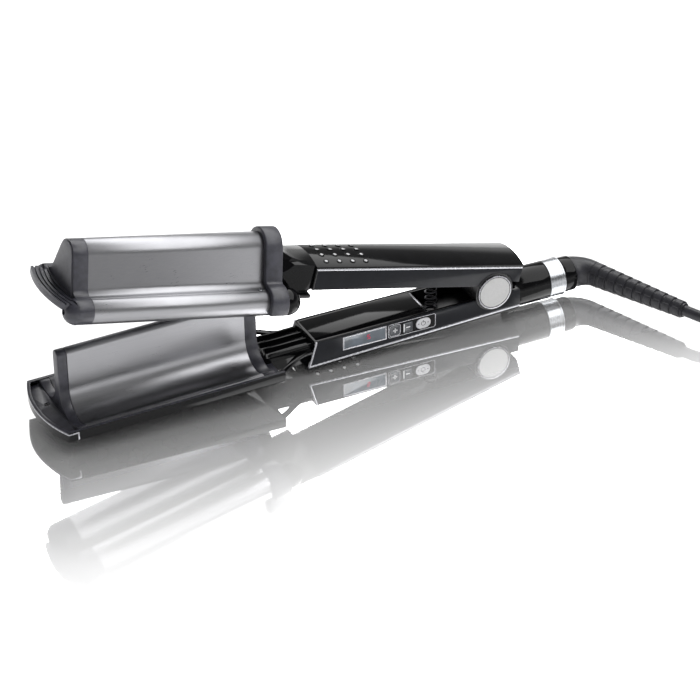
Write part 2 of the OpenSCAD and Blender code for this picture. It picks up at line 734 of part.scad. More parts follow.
// Carrier inside the lower handle with the two hinge ears
module lower_frame() {
    bar_z = lower_inner + lower_frame_gap;
    color("#202024") in_lower_handle() difference() {
        union() {
            both_sides() rod_y(ear_d, knuckle_half + hinge_clear, handle_w / 2);
            box(-handle_len + lower_rake + shell_wall * 1.05, 0, board_back + 0.3, cavity_half,
                bar_z, bar_z + frame_t);
            box(-power_reach + power_len / 2 + 0.5, 0, -cavity_half, cavity_half,
                bar_z, bar_z + frame_t);
        }
        rod_y(pin_d, -handle_w, handle_w);
        rod_y(2 * recess_r, -knuckle_half - hinge_clear, knuckle_half + hinge_clear);
    }
}
module hinge_pin() {
    color("#c8c8cc") in_lower() rod_y(pin_d, -handle_w / 2, handle_w / 2);
}
module near_hinge_disc() {
    color("#cfcfcf") in_lower() rod_y(disc_d, -handle_w / 2 - disc_t, -handle_w / 2);
}
module far_hinge_disc() {
    color("#cfcfcf") in_lower() rod_y(disc_d, handle_w / 2, handle_w / 2 + disc_t);
}
// Compression spring between the two handles, with flat end turns
module opening_spring() {
    seat = -lower_inner - lower_frame_gap;
    lean = open_angle + upper_slope;
    top = (spring_reach - spring_d / 2 - spring_wire) * tan(lean) + upper_inner / cos(lean) - 0.3;
    rise = top - seat - spring_wire;
    rings = 8;
    helix = [for (i = [0:spring_turns * rings])
        let (t = i / rings, climb = min(1, max(0, (t - 0.5) / (spring_turns - 1))))
        [-spring_reach + spring_d / 2 * cos(360 * t), spring_d / 2 * sin(360 * t),
            seat + spring_wire / 2 + rise * climb]];
    echo(spring_gap = rise / (spring_turns - 1) / 2 - spring_wire);
    color("#b9b9bd") in_lower()
        swept_tube(helix, spring_wire / 2, 6);
}

// Hole in the near panel for one of the controls
module control_hole(reach, len, high, gap) {
    box(-reach - len / 2 - gap, -reach + len / 2 + gap, -handle_w, 0,
        -control_drop - high / 2 - gap, -control_drop + high / 2 + gap);
}
module oval_slot(grow, y0, y1) {
    half = (power_len - button_h) / 2;
    translate([-power_reach, 0, -control_drop]) {
        translate([-half, 0, 0]) rod_y(button_h + 2 * grow, y0, y1);
        translate([half, 0, 0]) rod_y(button_h + 2 * grow, y0, y1);
        box(-half, half, y0, y1, -button_h / 2 - grow, button_h / 2 + grow);
    }
}
module control_board() {
    low = -control_drop - display_h / 2;
    color("#2f6b3a") in_lower() {
        box(-display_reach - display_len / 2, -power_reach + 2, board_face, board_back, low, board_top);
        for (reach = [plus_reach, minus_reach, power_reach])
            translate([-reach, 0, -control_drop]) rod_y(3, switch_face, board_face);
        box(-display_reach - 6, -display_reach + 6, board_back, cavity_half,
            -control_drop - 2, -control_drop + 2);
    }
}
module display_module() {
    color("#39424c") in_lower() box(-display_reach - display_len / 2, -display_reach + display_len / 2,
        -side_half + 0.2, board_face, -control_drop - display_h / 2, board_top);
}
module display_bezel() {
    color("#b8b8b8") in_lower() difference() {
        box(-display_reach - display_len / 2 - bezel_w, -display_reach + display_len / 2 + bezel_w,
            -handle_w / 2 - 0.2, -side_half, -control_drop - display_h / 2 - bezel_w,
            -control_drop + display_h / 2 + bezel_w);
        control_hole(display_reach, display_len, display_h, 0);
    }
}
module display_window() {
    color("#3f4a55") in_lower() box(-display_reach - display_len / 2, -display_reach + display_len / 2,
        -handle_w / 2, -side_half + 0.2, -control_drop - display_h / 2, -control_drop + display_h / 2);
}
// Square button with the lip that keeps it behind the panel
module square_button(reach) {
    in_lower() translate([-reach, 0, -control_drop]) {
        box(-button_len / 2, button_len / 2, button_face, flange_back, -button_h / 2, button_h / 2);
        box(-button_len / 2 - button_lip, button_len / 2 + button_lip, flange_face, flange_back,
            -button_h / 2, button_h / 2);
    }
}
module plus_button() {
    color("#34373d") square_button(plus_reach);
}
module minus_button() {
    color("#34373d") square_button(minus_reach);
}
module power_button() {
    color("#e4e4e6") in_lower() {
        oval_slot(0, button_face, flange_back);
        box(-power_reach - power_len / 2 - button_lip, -power_reach + power_len / 2 + button_lip,
            flange_face, flange_back, -control_drop - button_h / 2, -control_drop + button_h / 2);
    }
}

module in_swivel() {
    translate([hinge_x, 0, swivel_z]) children();
}
module swivel_housing() {
    color("#101012") in_swivel() difference() {
        rod_x(swivel_d, handle_tail, housing_end);
        rod_x(spindle_d + 2 * pin_clear, head_start, housing_end + 1);
        rod_x(head_d + 0.6, head_start - 0.3, head_start + head_len + 0.3);
    }
}
module swivel_ring() {
    color("#b9bbbe") in_swivel() difference() {
        rod_x(swivel_d, housing_end, ring_end);
        rod_x(spindle_d + 2 * pin_clear, housing_end - 1, ring_end + 1);
    }
}
module swivel_spindle() {
    color("#3a3a3e") in_swivel() {
        rod_x(spindle_d, head_start, collar_start);
        rod_x(head_d, head_start, head_start + head_len);
    }
}
module swivel_collar() {
    color("#141416") in_swivel() rod_x(swivel_d - 2, collar_start, collar_end);
}
module elbow() {
    steps = 11;
    path = [for (i = [0:steps]) let (a = elbow_bend * i / steps)
        [collar_end + elbow_r * sin(a), -elbow_r * (1 - cos(a)), 0]];
    radii = [for (i = [0:steps]) (elbow_d1 + (elbow_d2 - elbow_d1) * i / steps) / 2];
    rings = [for (i = [0:steps]) let (a = elbow_bend * i / steps)
        sweep_ring(path[i], [cos(a), -sin(a), 0], radii[i], 24)];
    color("#2e2e33") in_swivel() ring_stack(rings);
}
module ribbed_sleeve() {
    pitch = sleeve_len / sleeve_ribs;
    profile = concat([[0, 0]],
        [for (i = [0:sleeve_ribs - 1])
            let (z = i * pitch, r = (elbow_d2 + (sleeve_d2 - elbow_d2) * i / (sleeve_ribs - 1)) / 2)
            each [[r, z], [r, z + pitch - sleeve_groove], [r - sleeve_cut, z + pitch - sleeve_groove],
                [r - sleeve_cut, z + pitch]]],
        [[0, sleeve_len]]);
    color("#2e2e33") translate(sleeve_start) rotate([0, 0, -elbow_bend]) rotate([0, 90, 0])
        rotate_extrude() polygon(profile);
}
module cord() {
    color("#1a1a1c") swept_tube(cord_route, cord_d / 2, 8);
}
module cord_coil() {
    gaps = [for (i = [0:len(coil_loops) - 1], j = [i + coil_rings / 2:1:len(coil_loops) - 1])
        norm(coil_loops[i] - coil_loops[j])];
    echo(coil_gap = min(gaps) - cord_d);
    route = concat([coil_start], coil_loops, [coil_end]);
    color("#1a1a1c") swept_tube(route, cord_d / 2, coil_sides);
}
module plug_lead() {
    color("#1a1a1c") swept_tube(lead_route, cord_d / 2, 8);
}
module on_plug() {
    translate(plug_pos) rotate([0, 0, plug_turn]) children();
}
module plug_body() {
    neck = 5;
    color("#1a1a1c") on_plug() translate([0, 0, -plug_t / 2]) linear_extrude(plug_t) polygon([
        [0, -neck], [plug_len * 0.3, -neck - 2], [plug_len * 0.45, -plug_w / 2], [plug_len, -plug_w / 2],
        [plug_len, plug_w / 2], [plug_len * 0.45, plug_w / 2], [plug_len * 0.3, neck + 2], [0, neck]]);
}
module plug_pins() {
    color("#c8c8c8") on_plug() both_sides() translate([0, prong_gap / 2, 0])
        rod_x(prong_d, plug_len, plug_len + prong_len);
}

// Solid block with the upper jaw's section, grown on its outer side
module jaw_section(grow) {
    polygon(mirrored_band(jaw_path(grow), channel_path(0)));
}
module upper_wave_plate() {
    color("#9d9da2") in_upper_jaw() along_x(-plate_front, -plate_rear)
        polygon(mirrored_band(upper_path(0), upper_path(plate_wall)));
}
module upper_cover() {
    color("#9d9da2") in_upper_jaw() along_x(-plate_front, -plate_rear)
        polygon(mirrored_band(cover_path(0), cover_path(cover_wall)));
}
module upper_front_cap() {
    bow_mid = -lip_reach + bow_r;
    notch = channel_half + 0.3;
    face_r = hump_r - face_inset;
    face_foot = lip_z - 0.5;
    face_half = concat(arc([0, hump_z], face_r, 90, hump_flare, 12),
        [[face_r * cos(hump_flare) + (hump_z + face_r * sin(hump_flare) - face_foot) * tan(hump_flare),
            face_foot]]);
    color("#4a4a52") in_upper_jaw() difference() {
        union() {
            along_x(cap_x, -plate_front) jaw_section(0);
            along_x(cap_x - face_proud, cap_x + face_back)
                polygon(concat(face_half, reversed(tail(flip(face_half)))));
            both_sides() translate([nose_x, lobe_y, lobe_z]) sphere(lobe_r);
            slab(lip_z - lip_t, lip_z) intersection() {
                translate([bow_mid, 0]) circle(bow_r, $fn = 128);
                translate([-lip_reach, -lip_w / 2]) square([lip_reach + cap_x, lip_w]);
            }
        }
        box(-plate_front - lower_cap_t - lip_notch, cap_x + 0.01, -notch, notch,
            lip_z - lip_t - 1, lip_z + 1);
        for (i = [0:lip_grooves - 1]) translate([bow_mid, 0, lip_z - groove_depth]) difference() {
            cylinder(r = bow_r - lip_edge - i * groove_pitch, h = 2, $fn = 128);
            cylinder(r = bow_r - lip_edge - i * groove_pitch - groove_w, h = 2, $fn = 128);
            box(cap_x - 1 - bow_mid, bow_r, -bow_r, bow_r, -1, 3);
        }
        both_sides() translate([0, lobe_y, lobe_z])
            rod_x(cap_screw_d, nose_front - 1, nose_front + cap_screw_depth);
    }
}
module upper_cap_screws() {
    color("#2a2a2c") in_upper_jaw() both_sides() translate([0, lobe_y, lobe_z]) difference() {
        rod_x(cap_screw_d, nose_front + 1.2, nose_front + cap_screw_depth);
        box(nose_front, nose_front + 2, -0.3, 0.3, -cap_screw_d, cap_screw_d);
    }
}
module upper_rear_flange() {
    color("#4a4a52") in_upper_jaw() along_x(-plate_rear, -plate_rear + upper_flange_t)
        jaw_section(flange_proud);
}
module upper_heater() {
    wall_y = channel_half + plate_wall;
    color("#c9b27c") in_upper_jaw() both_sides()
        box(-plate_front + 4, -plate_rear - 4, wall_y, wall_y + 3, trough_z + 1, trough_z + 15);
}
module upper_rivets() {
    color("#d0d0d4") in_upper_jaw() both_sides()
        translate([-plate_rear - 4, (fillet_y + lobe_y) / 2, foot_z]) cylinder(d = rivet_d, h = 0.7);
}
// Neck between the upper jaw and its handle: the handle's section runs forward into a narrow
// ridge with a scoop on each side, over a foot plate and the domed ends of the lobes
module upper_neck() {
    rear_x = -plate_rear + upper_flange_t;
    run = handle_len + upper_shift + rear_x;
    line = upper_inner + upper_panel_front + line_h / 2;
    foot_z0 = upper_inner - 4.3;
    dome_x = rear_x + 3;
    color("#151517") difference() {
        union() {
            in_upper_handle() difference() {
                intersection() {
                    union() {
                        along_y(-side_half, side_half) polygon([
                            [-handle_len - 4 + run, foot_z0 + foot_t], [-handle_len - 3, foot_z0 + foot_t],
                            [-handle_len, upper_inner + 0.5], [-handle_len, line + crown_join],
                            [-handle_len - 4 + run, line + crown_join]]);
                        on_line(upper_inner, upper_panel_front, upper_panel_rear)
                            along_x(run - 4, 0) crown_section();
                        along_y(-9, 9) polygon([[-handle_len + run - 4, line - 4],
                            [-handle_len - 8, line - 4], [-handle_len - 8, line + 2.4],
                            [-handle_len + run - 4, line + 9]]);
                    }
                    slab(-hinge_z, 2 * hinge_z) polygon([
                        [-handle_len + run - 4, -12], [-handle_len - 10, -12.5], [-handle_len, -side_half],
                        [-handle_len, side_half], [-handle_len - 10, 12.5], [-handle_len + run - 4, 12]]);
                }
                both_sides() translate([-handle_len + run - 4, scoop_r + 3, line + 11]) sphere(scoop_r);
            }
            in_upper_handle() box(-handle_len + run - 1, -handle_len - 1, -foot_half, foot_half,
                foot_z0, foot_z0 + foot_t);
            in_upper_jaw() both_sides() translate([0, lobe_y, lobe_z]) {
                rod_x(2 * lobe_r + 1, rear_x, dome_x);
                translate([dome_x, 0, 0]) rotate([0, 90, 0]) sphere(lobe_r + 0.65);
            }
        }
        in_upper_jaw() box(rear_x - 30, rear_x, -handle_w * 2, handle_w * 2, -hinge_z, 3 * hinge_z);
    }
}
// What the upper handle's pieces leave free round the hinge and over the swivel
module clear_of_hinge() {
    difference() {
        children();
        in_upper() rod_y(2 * recess_r, -handle_w, handle_w);
        in_upper_handle() box(0, 2 * handle_tail, -handle_w, handle_w, 0, upper_tail_inner);
    }
}
module upper_handle_shell() {
    color("#0f0f11") clear_of_hinge() in_upper_handle()
        handle_shell(upper_inner, upper_panel_front, upper_panel_rear, 0);
}
module upper_inner_cover() {
    color("#111113") clear_of_hinge() in_upper_handle()
        box(-handle_len + shell_wall * 1.05, 0, -cavity_half, cavity_half,
            upper_inner, upper_inner + cover_plate_t);
}
module upper_near_panel() {
    color("#24272e") clear_of_hinge() in_upper_handle() mirror([0, 1, 0])
        side_panel(upper_inner, upper_panel_front, upper_panel_rear, 0);
}
module upper_far_panel() {
    color("#24272e") clear_of_hinge() in_upper_handle()
        side_panel(upper_inner, upper_panel_front, upper_panel_rear, 0);
}
module upper_side_trims() {
    color("#b8b8b8") in_upper_handle() side_trims(upper_inner, upper_panel_front, upper_panel_rear, 0);
}
module upper_grip_dots() {
    color("#e8e8e8") in_upper_handle() grip_dots(upper_inner, upper_panel_front, upper_panel_rear);
}
// Carrier inside the upper handle with the hinge knuckle
module upper_frame() {
    bar_z = upper_inner + cover_plate_t;
    color("#202024") difference() {
        union() {
            in_upper() rod_y(ear_d, -knuckle_half, knuckle_half);
            in_upper_handle() box(-handle_len + shell_wall * 1.05, 0, -knuckle_half + 1, knuckle_half - 1,
                bar_z, bar_z + frame_t);
        }
        in_upper() rod_y(pin_d + 2 * pin_clear, -handle_w, handle_w);
    }
}

lower_hull();
tray_trim();
lower_liner();
lower_wave_plate();
lower_front_cap();
lower_rear_flange();
lower_heater();
lower_thermostat();
lower_neck();
liner_screws();
lower_handle_shell();
lower_inner_cover();
inner_cover_strip();
lower_near_panel();
lower_far_panel();
lower_side_trims();
lower_grip_dots();
lower_frame();
hinge_pin();
near_hinge_disc();
far_hinge_disc();
opening_spring();
control_board();
display_module();
display_bezel();
display_window();
swivel_housing();
swivel_ring();
upper_wave_plate();
upper_cover();
upper_front_cap();
upper_rear_flange();
upper_heater();
upper_rivets();
upper_cap_screws();
upper_neck();
upper_handle_shell();
upper_inner_cover();
upper_near_panel();
upper_far_panel();
upper_side_trims();
upper_grip_dots();
upper_frame();
plus_button();
minus_button();
power_button();
swivel_spindle();
swivel_collar();
elbow();
ribbed_sleeve();
cord();
cord_coil();
plug_lead();
plug_body();
plug_pins();
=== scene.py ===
import math

import bmesh
import bpy
from mathutils import Matrix, Vector


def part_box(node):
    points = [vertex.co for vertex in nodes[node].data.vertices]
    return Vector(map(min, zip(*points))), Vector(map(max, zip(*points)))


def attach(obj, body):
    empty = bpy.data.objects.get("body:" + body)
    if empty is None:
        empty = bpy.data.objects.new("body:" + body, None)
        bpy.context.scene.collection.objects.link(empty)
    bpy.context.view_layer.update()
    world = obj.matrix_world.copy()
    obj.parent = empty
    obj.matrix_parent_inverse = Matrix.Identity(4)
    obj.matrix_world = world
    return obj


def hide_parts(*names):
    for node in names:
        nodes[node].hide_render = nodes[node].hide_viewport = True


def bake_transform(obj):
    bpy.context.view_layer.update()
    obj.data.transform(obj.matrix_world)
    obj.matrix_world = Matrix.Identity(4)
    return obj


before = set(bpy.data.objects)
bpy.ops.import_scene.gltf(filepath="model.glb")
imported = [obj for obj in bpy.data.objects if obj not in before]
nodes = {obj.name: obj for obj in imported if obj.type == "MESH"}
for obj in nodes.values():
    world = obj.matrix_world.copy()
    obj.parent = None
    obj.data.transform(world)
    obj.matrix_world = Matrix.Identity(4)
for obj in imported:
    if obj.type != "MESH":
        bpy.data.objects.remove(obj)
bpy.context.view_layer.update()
mm = 0.001
# a face points along an axis when its normal has this share of it, and places this close are one
facing, near = 0.9, 0.01 * mm
print("frame loaded:", len(nodes), "nodes")

# Places shared by the pieces, in mm and degrees, as the construction source has them
tool = {"hingeX": 103.9426, "hingeZ": 24.7, "openAngle": 13.7, "handleWidth": 29.0, "swivelDrop": 10.4}


def turn(angle, axis):
    return Matrix.Rotation(math.radians(angle), 4, axis)


def shift(x, y, z):
    return Matrix.Translation((x * mm, y * mm, z * mm))


# Frames of the two arms: hinge axis at the origin, handle side at -X
lowerFrame = shift(tool["hingeX"], 0, tool["hingeZ"])
upperFrame = lowerFrame @ turn(tool["openAngle"], "Y")
swivelFrame = shift(tool["hingeX"], 0, tool["hingeZ"] - tool["swivelDrop"])


# Small helpers

def linearColour(hexValue):
    parts = [int(hexValue[i:i + 2], 16) / 255 for i in (1, 3, 5)]
    return tuple(c / 12.92 if c <= 0.04045 else ((c + 0.055) / 1.055) ** 2.4 for c in parts) + (1.0,)


def deselectAll():
    if bpy.context.mode != "OBJECT":
        bpy.ops.object.mode_set(mode="OBJECT")
    bpy.ops.object.select_all(action="DESELECT")


def pickOnly(piece):
    deselectAll()
    piece.select_set(True)
    bpy.context.view_layer.objects.active = piece


def startEdit(piece):
    pickOnly(piece)
    bpy.ops.object.mode_set(mode="EDIT")


def endEdit():
    bpy.ops.object.mode_set(mode="OBJECT")


def pickFaces(piece, test):
    mesh = bmesh.from_edit_mesh(piece.data)
    bpy.ops.mesh.select_mode(type="FACE")
    for face in mesh.faces:
        face.select_set(bool(test(face.calc_center_median(), face.normal)))
    mesh.select_flush_mode()
    bmesh.update_edit_mesh(piece.data)


def pickEdges(piece, test):
    mesh = bmesh.from_edit_mesh(piece.data)
    bpy.ops.mesh.select_mode(type="EDGE")
    for edge in mesh.edges:
        edge.select_set(bool(test(edge.verts[0].co, edge.verts[1].co)))
    mesh.select_flush_mode()
    bmesh.update_edit_mesh(piece.data)


def applyPlace(piece):
    pickOnly(piece)
    bpy.ops.object.transform_apply(location=True, rotation=True, scale=True)


def moveInto(piece, place):
    applyPlace(piece)
    piece.matrix_world = place
    applyPlace(piece)


def addBevel(piece, width, segments=3, angle=30.0):
    bevel = piece.modifiers.new("edges", "BEVEL")
    bevel.width = width * mm
    bevel.segments = segments
    bevel.limit_method = "ANGLE"
    bevel.angle_limit = math.radians(angle)
    pickOnly(piece)
    bpy.ops.object.modifier_apply(modifier=bevel.name)


def smoothByAngle(piece, angle=30.0):
    pickOnly(piece)
    bpy.ops.object.shade_smooth_by_angle(angle=math.radians(angle))


def joinPieces(pieces):
    deselectAll()
    for piece in pieces:
        piece.select_set(True)
    bpy.context.view_layer.objects.active = pieces[0]
    bpy.ops.object.join()
    return bpy.context.view_layer.objects.active


def fixNormals(piece, weld=0.002):
    startEdit(piece)
    bpy.ops.mesh.select_all(action="SELECT")
    bpy.ops.mesh.remove_doubles(threshold=weld * mm)
    bpy.ops.mesh.normals_make_consistent(inside=False)
    endEdit()


def settle(piece, name, body, material, replaces=(), smooth=30.0):
    # names and paints a finished piece, and hangs it on its body if it has one
    piece.name = name
    piece.data.name = name
    piece.data.materials.clear()
    piece.data.materials.append(material)
    if smooth and piece.type == "MESH":
        smoothByAngle(piece, smooth)
    if body:
        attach(piece, body)
    if replaces:
        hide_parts(*replaces)
    return piece


# Camera

view = {"azimuth": 26.22, "elevation": 32.08, "roll": -0.22, "distance": 2284.9, "right": 78.77, "up": 41.31,
        "lens": 198.0, "sensor": 36, "nearest": 0.05, "farthest": 60}


def makeCamera():
    azimuth, elevation, roll = (math.radians(view[k]) for k in ("azimuth", "elevation", "roll"))
    flat = math.cos(elevation)
    ahead = Vector((math.sin(azimuth) * flat, math.cos(azimuth) * flat, -math.sin(elevation)))
    level = Vector((math.cos(azimuth), -math.sin(azimuth), 0))
    upward = level.cross(ahead)
    right = math.cos(roll) * level + math.sin(roll) * upward
    up = -math.sin(roll) * level + math.cos(roll) * upward
    place = (-ahead * view["distance"] - right * view["right"] - up * view["up"]) * mm
    place += Vector((tool["hingeX"], 0, tool["hingeZ"])) * mm
    data = bpy.data.cameras.new("camera")
    data.lens = view["lens"]
    data.sensor_width = view["sensor"]
    data.clip_start, data.clip_end = view["nearest"], view["farthest"]
    camera = bpy.data.objects.new("camera", data)
    bpy.context.scene.collection.objects.link(camera)
    facing = Matrix((right, up, -ahead)).transposed().to_4x4()
    camera.matrix_world = Matrix.Translation(place) @ facing
    bpy.context.scene.camera = camera


makeCamera()
print("camera placed")

# Materials

def addNode(tree, kind, settings=None, links=None):
    # settings go on the node or its inputs by name, links are (input name, output socket)
    made = tree.nodes.new(kind)
    for key, value in (settings or {}).items():
        if key in made.inputs:
            made.inputs[key].default_value = value
        else:
            setattr(made, key, value)
    for key, socket in (links or {}).items():
        tree.links.new(socket, made.inputs[key])
    return made


def newMaterial(name, settings):
    material = bpy.data.materials.new(name)
    material.use_nodes = True
    tree = material.node_tree
    tree.nodes.clear()
    shader = addNode(tree, "ShaderNodeBsdfPrincipled", settings)
    addNode(tree, "ShaderNodeOutputMaterial", links={"Surface": shader.outputs["BSDF"]})
    place = addNode(tree, "ShaderNodeTexCoord")
    return material, tree, shader, place.outputs["Object"]


def perMetre(millimetres):
    # noise scale whose grain is about this wide
    return 1000.0 / millimetres


def stretchedPlace(tree, place, stretch):
    mapping = addNode(tree, "ShaderNodeMapping", {"Scale": stretch}, {"Vector": place})
    return mapping.outputs["Vector"]


def noise(tree, place, grain, detail=3.0, roughness=0.55):
    made = addNode(tree, "ShaderNodeTexNoise",
                   {"Scale": perMetre(grain), "Detail": detail, "Roughness": roughness}, {"Vector": place})
    return made.outputs["Fac"]


def remap(tree, value, low, high, fromLow=0.3, fromHigh=0.7):
    made = addNode(tree, "ShaderNodeMapRange",
                   {"From Min": fromLow, "From Max": fromHigh, "To Min": low, "To Max": high},
                   {"Value": value})
    return made.outputs["Result"]


def mixColours(tree, value, first, second):
    ramp = addNode(tree, "ShaderNodeValToRGB", links={"Fac": value})
    for stop, colour, position in zip(ramp.color_ramp.elements, (first, second), (0.3, 0.7)):
        stop.color = linearColour(colour)
        stop.position = position
    return ramp.outputs["Color"]


def addBump(tree, shader, height, depth):
    bump = addNode(tree, "ShaderNodeBump", {"Strength": 1.0, "Distance": depth * mm}, {"Height": height})
    tree.links.new(bump.outputs["Normal"], shader.inputs["Normal"])


def glossyBlack():
    # Injection moulded ABS from a polished tool: deep black, faintly wavy, its gloss uneven as fine dust
    material, tree, shader, place = newMaterial("glossyMouldedAbs", {"IOR": 1.5, "Specular IOR Level": 0.15})
    wave = noise(tree, place, 9.0, 1.0)
    dust = noise(tree, place, 0.6, 4.0)
    tree.links.new(mixColours(tree, wave, "#0b0b0c", "#101012"), shader.inputs["Base Color"])
    tree.links.new(remap(tree, dust, 0.05, 0.11), shader.inputs["Roughness"])
    addBump(tree, shader, wave, 0.012)
    return material


def mouldedGrain(name, dark, light, gloss, grain, depth, mottle=6.0, shine=0.5):
    # Moulded plastic from a spark-eroded tool: an even matt grain with slightly clouded colour
    material, tree, shader, place = newMaterial(name, {"IOR": 1.52, "Specular IOR Level": shine})
    cloud = noise(tree, place, mottle, 3.0)
    fine = noise(tree, place, grain, 2.0)
    tree.links.new(mixColours(tree, cloud, dark, light), shader.inputs["Base Color"])
    tree.links.new(remap(tree, fine, gloss - 0.05, gloss + 0.06), shader.inputs["Roughness"])
    addBump(tree, shader, fine, depth)
    return material


def brushedMetal(name, dark, light, gloss, stretch, grain, depth, anisotropic=0.0):
    # Metal finished with an abrasive belt: fine parallel lines, soft lengthwise reflections, even colour
    material, tree, shader, place = newMaterial(name, {"Metallic": 1.0, "Anisotropic": anisotropic})
    lines = noise(tree, stretchedPlace(tree, place, stretch), grain, 3.0, 0.6)
    cloud = noise(tree, place, 14.0, 2.0)
    tree.links.new(mixColours(tree, lines, dark, light), shader.inputs["Base Color"])
    fine, broad = remap(tree, lines, -0.05, 0.05), remap(tree, cloud, gloss - 0.02, gloss + 0.02)
    both = addNode(tree, "ShaderNodeMath", {"operation": "ADD"}, {0: fine, 1: broad})
    tree.links.new(both.outputs["Value"], shader.inputs["Roughness"])
    addBump(tree, shader, lines, depth)
    return material


def mirrorTrim():
    # Hot-stamped chrome foil on plastic: bright, near mirror, with a slight orange peel from what is under it
    material, tree, shader, place = newMaterial("stampedChromeFoil", {"Metallic": 1.0})
    peel = noise(tree, place, 1.6, 2.0)
    tree.links.new(mixColours(tree, peel, "#8f8f93", "#a2a2a6"), shader.inputs["Base Color"])
    tree.links.new(remap(tree, peel, 0.22, 0.3), shader.inputs["Roughness"])
    addBump(tree, shader, peel, 0.008)
    return material


def satinDisc():
    # Cast zinc disc in a pale pearl lacquer: bright and soft, with a sparkle of fine flake
    material, tree, shader, place = newMaterial(
        "pearlLacquer", {"Metallic": 0.35, "Coat Weight": 0.25, "Coat Roughness": 0.3, "IOR": 1.5})
    flake = addNode(tree, "ShaderNodeTexVoronoi", {"Scale": perMetre(0.35)}, {"Vector": place})
    depth = flake.outputs["Distance"]
    tree.links.new(mixColours(tree, depth, "#bdbdbd", "#adadad"), shader.inputs["Base Color"])
    tree.links.new(remap(tree, depth, 0.36, 0.52, 0.0, 0.6), shader.inputs["Roughness"])
    addBump(tree, shader, depth, 0.01)
    return material


def flexRubber():
    # Extruded and moulded PVC and TPE: soft black-grey, low sheen, slightly clouded, with a drag grain
    material, tree, shader, place = newMaterial(
        "mouldedTpe", {"IOR": 1.5, "Sheen Weight": 0.08, "Sheen Roughness": 0.4})
    cloud = noise(tree, place, 5.0, 3.0)
    fine = noise(tree, place, 0.45, 3.0)
    tree.links.new(mixColours(tree, cloud, "#242428", "#303036"), shader.inputs["Base Color"])
    tree.links.new(remap(tree, fine, 0.36, 0.48), shader.inputs["Roughness"])
    addBump(tree, shader, fine, 0.012)
    return material


def smokedWindow():
    # Smoked polycarbonate over a display: slate blue depth under a hard clear face
    material, tree, shader, place = newMaterial(
        "smokedPolycarbonate", {"IOR": 1.58, "Coat Weight": 0.6, "Coat Roughness": 0.05})
    cloud = noise(tree, place, 8.0, 1.0)
    fine = noise(tree, place, 0.5, 2.0)
    tree.links.new(mixColours(tree, cloud, "#323c46", "#46525f"), shader.inputs["Base Color"])
    tree.links.new(remap(tree, fine, 0.14, 0.22), shader.inputs["Roughness"])
    addBump(tree, shader, fine, 0.003)
    return material


def glowingSegment():
    # Light-guided display segment: red diffuse plastic lit from behind, its glow a little uneven
    material, tree, shader, place = newMaterial("litSegment", {"Roughness": 0.4, "Emission Strength": 0.55})
    cloud = noise(tree, place, 0.8, 2.0)
    tree.links.new(mixColours(tree, cloud, "#7d1030", "#a81840"), shader.inputs["Base Color"])
    tree.links.new(mixColours(tree, cloud, "#8c1034", "#c01c46"), shader.inputs["Emission Color"])
    return material


def makeInkForPrintAndHighlight():
    # Pad-printed white ink: flat, slightly uneven cover over the plastic's grain; the same white makes the
    # painted highlights on the grip studs
    material, tree, shader, place = newMaterial("padPrintedInkAndPaintedHighlight", {"IOR": 1.48})
    cover = noise(tree, place, 0.5, 3.0)
    tree.links.new(mixColours(tree, cover, "#d6d6d8", "#ebebed"), shader.inputs["Base Color"])
    tree.links.new(remap(tree, cover, 0.42, 0.55), shader.inputs["Roughness"])
    addBump(tree, shader, cover, 0.004)
    return material


def heaterClay():
    # Pressed ceramic heater block: chalky, speckled, matt
    material, tree, shader, place = newMaterial("pressedCeramic", {"IOR": 1.55})
    speck = noise(tree, place, 0.7, 4.0)
    tree.links.new(mixColours(tree, speck, "#b59c66", "#d2bd8a"), shader.inputs["Base Color"])
    tree.links.new(remap(tree, speck, 0.68, 0.85), shader.inputs["Roughness"])
    addBump(tree, shader, speck, 0.03)
    return material


def circuitBoard():
    # Solder-masked glass epoxy: green lacquer over copper tracks that show as paler lines
    material, tree, shader, place = newMaterial(
        "solderMask", {"IOR": 1.5, "Coat Weight": 0.4, "Coat Roughness": 0.15})
    tracks = addNode(tree, "ShaderNodeTexBrick",
                     {"Scale": perMetre(4.0), "Mortar Size": 0.06, "Color1": linearColour("#24603a"),
                      "Color2": linearColour("#2c7043"), "Mortar": linearColour("#5c7a34")},
                     {"Vector": place})
    fine = noise(tree, place, 0.5, 2.0)
    tree.links.new(tracks.outputs["Color"], shader.inputs["Base Color"])
    tree.links.new(remap(tree, fine, 0.28, 0.4), shader.inputs["Roughness"])
    addBump(tree, shader, tracks.outputs["Fac"], 0.03)
    return material


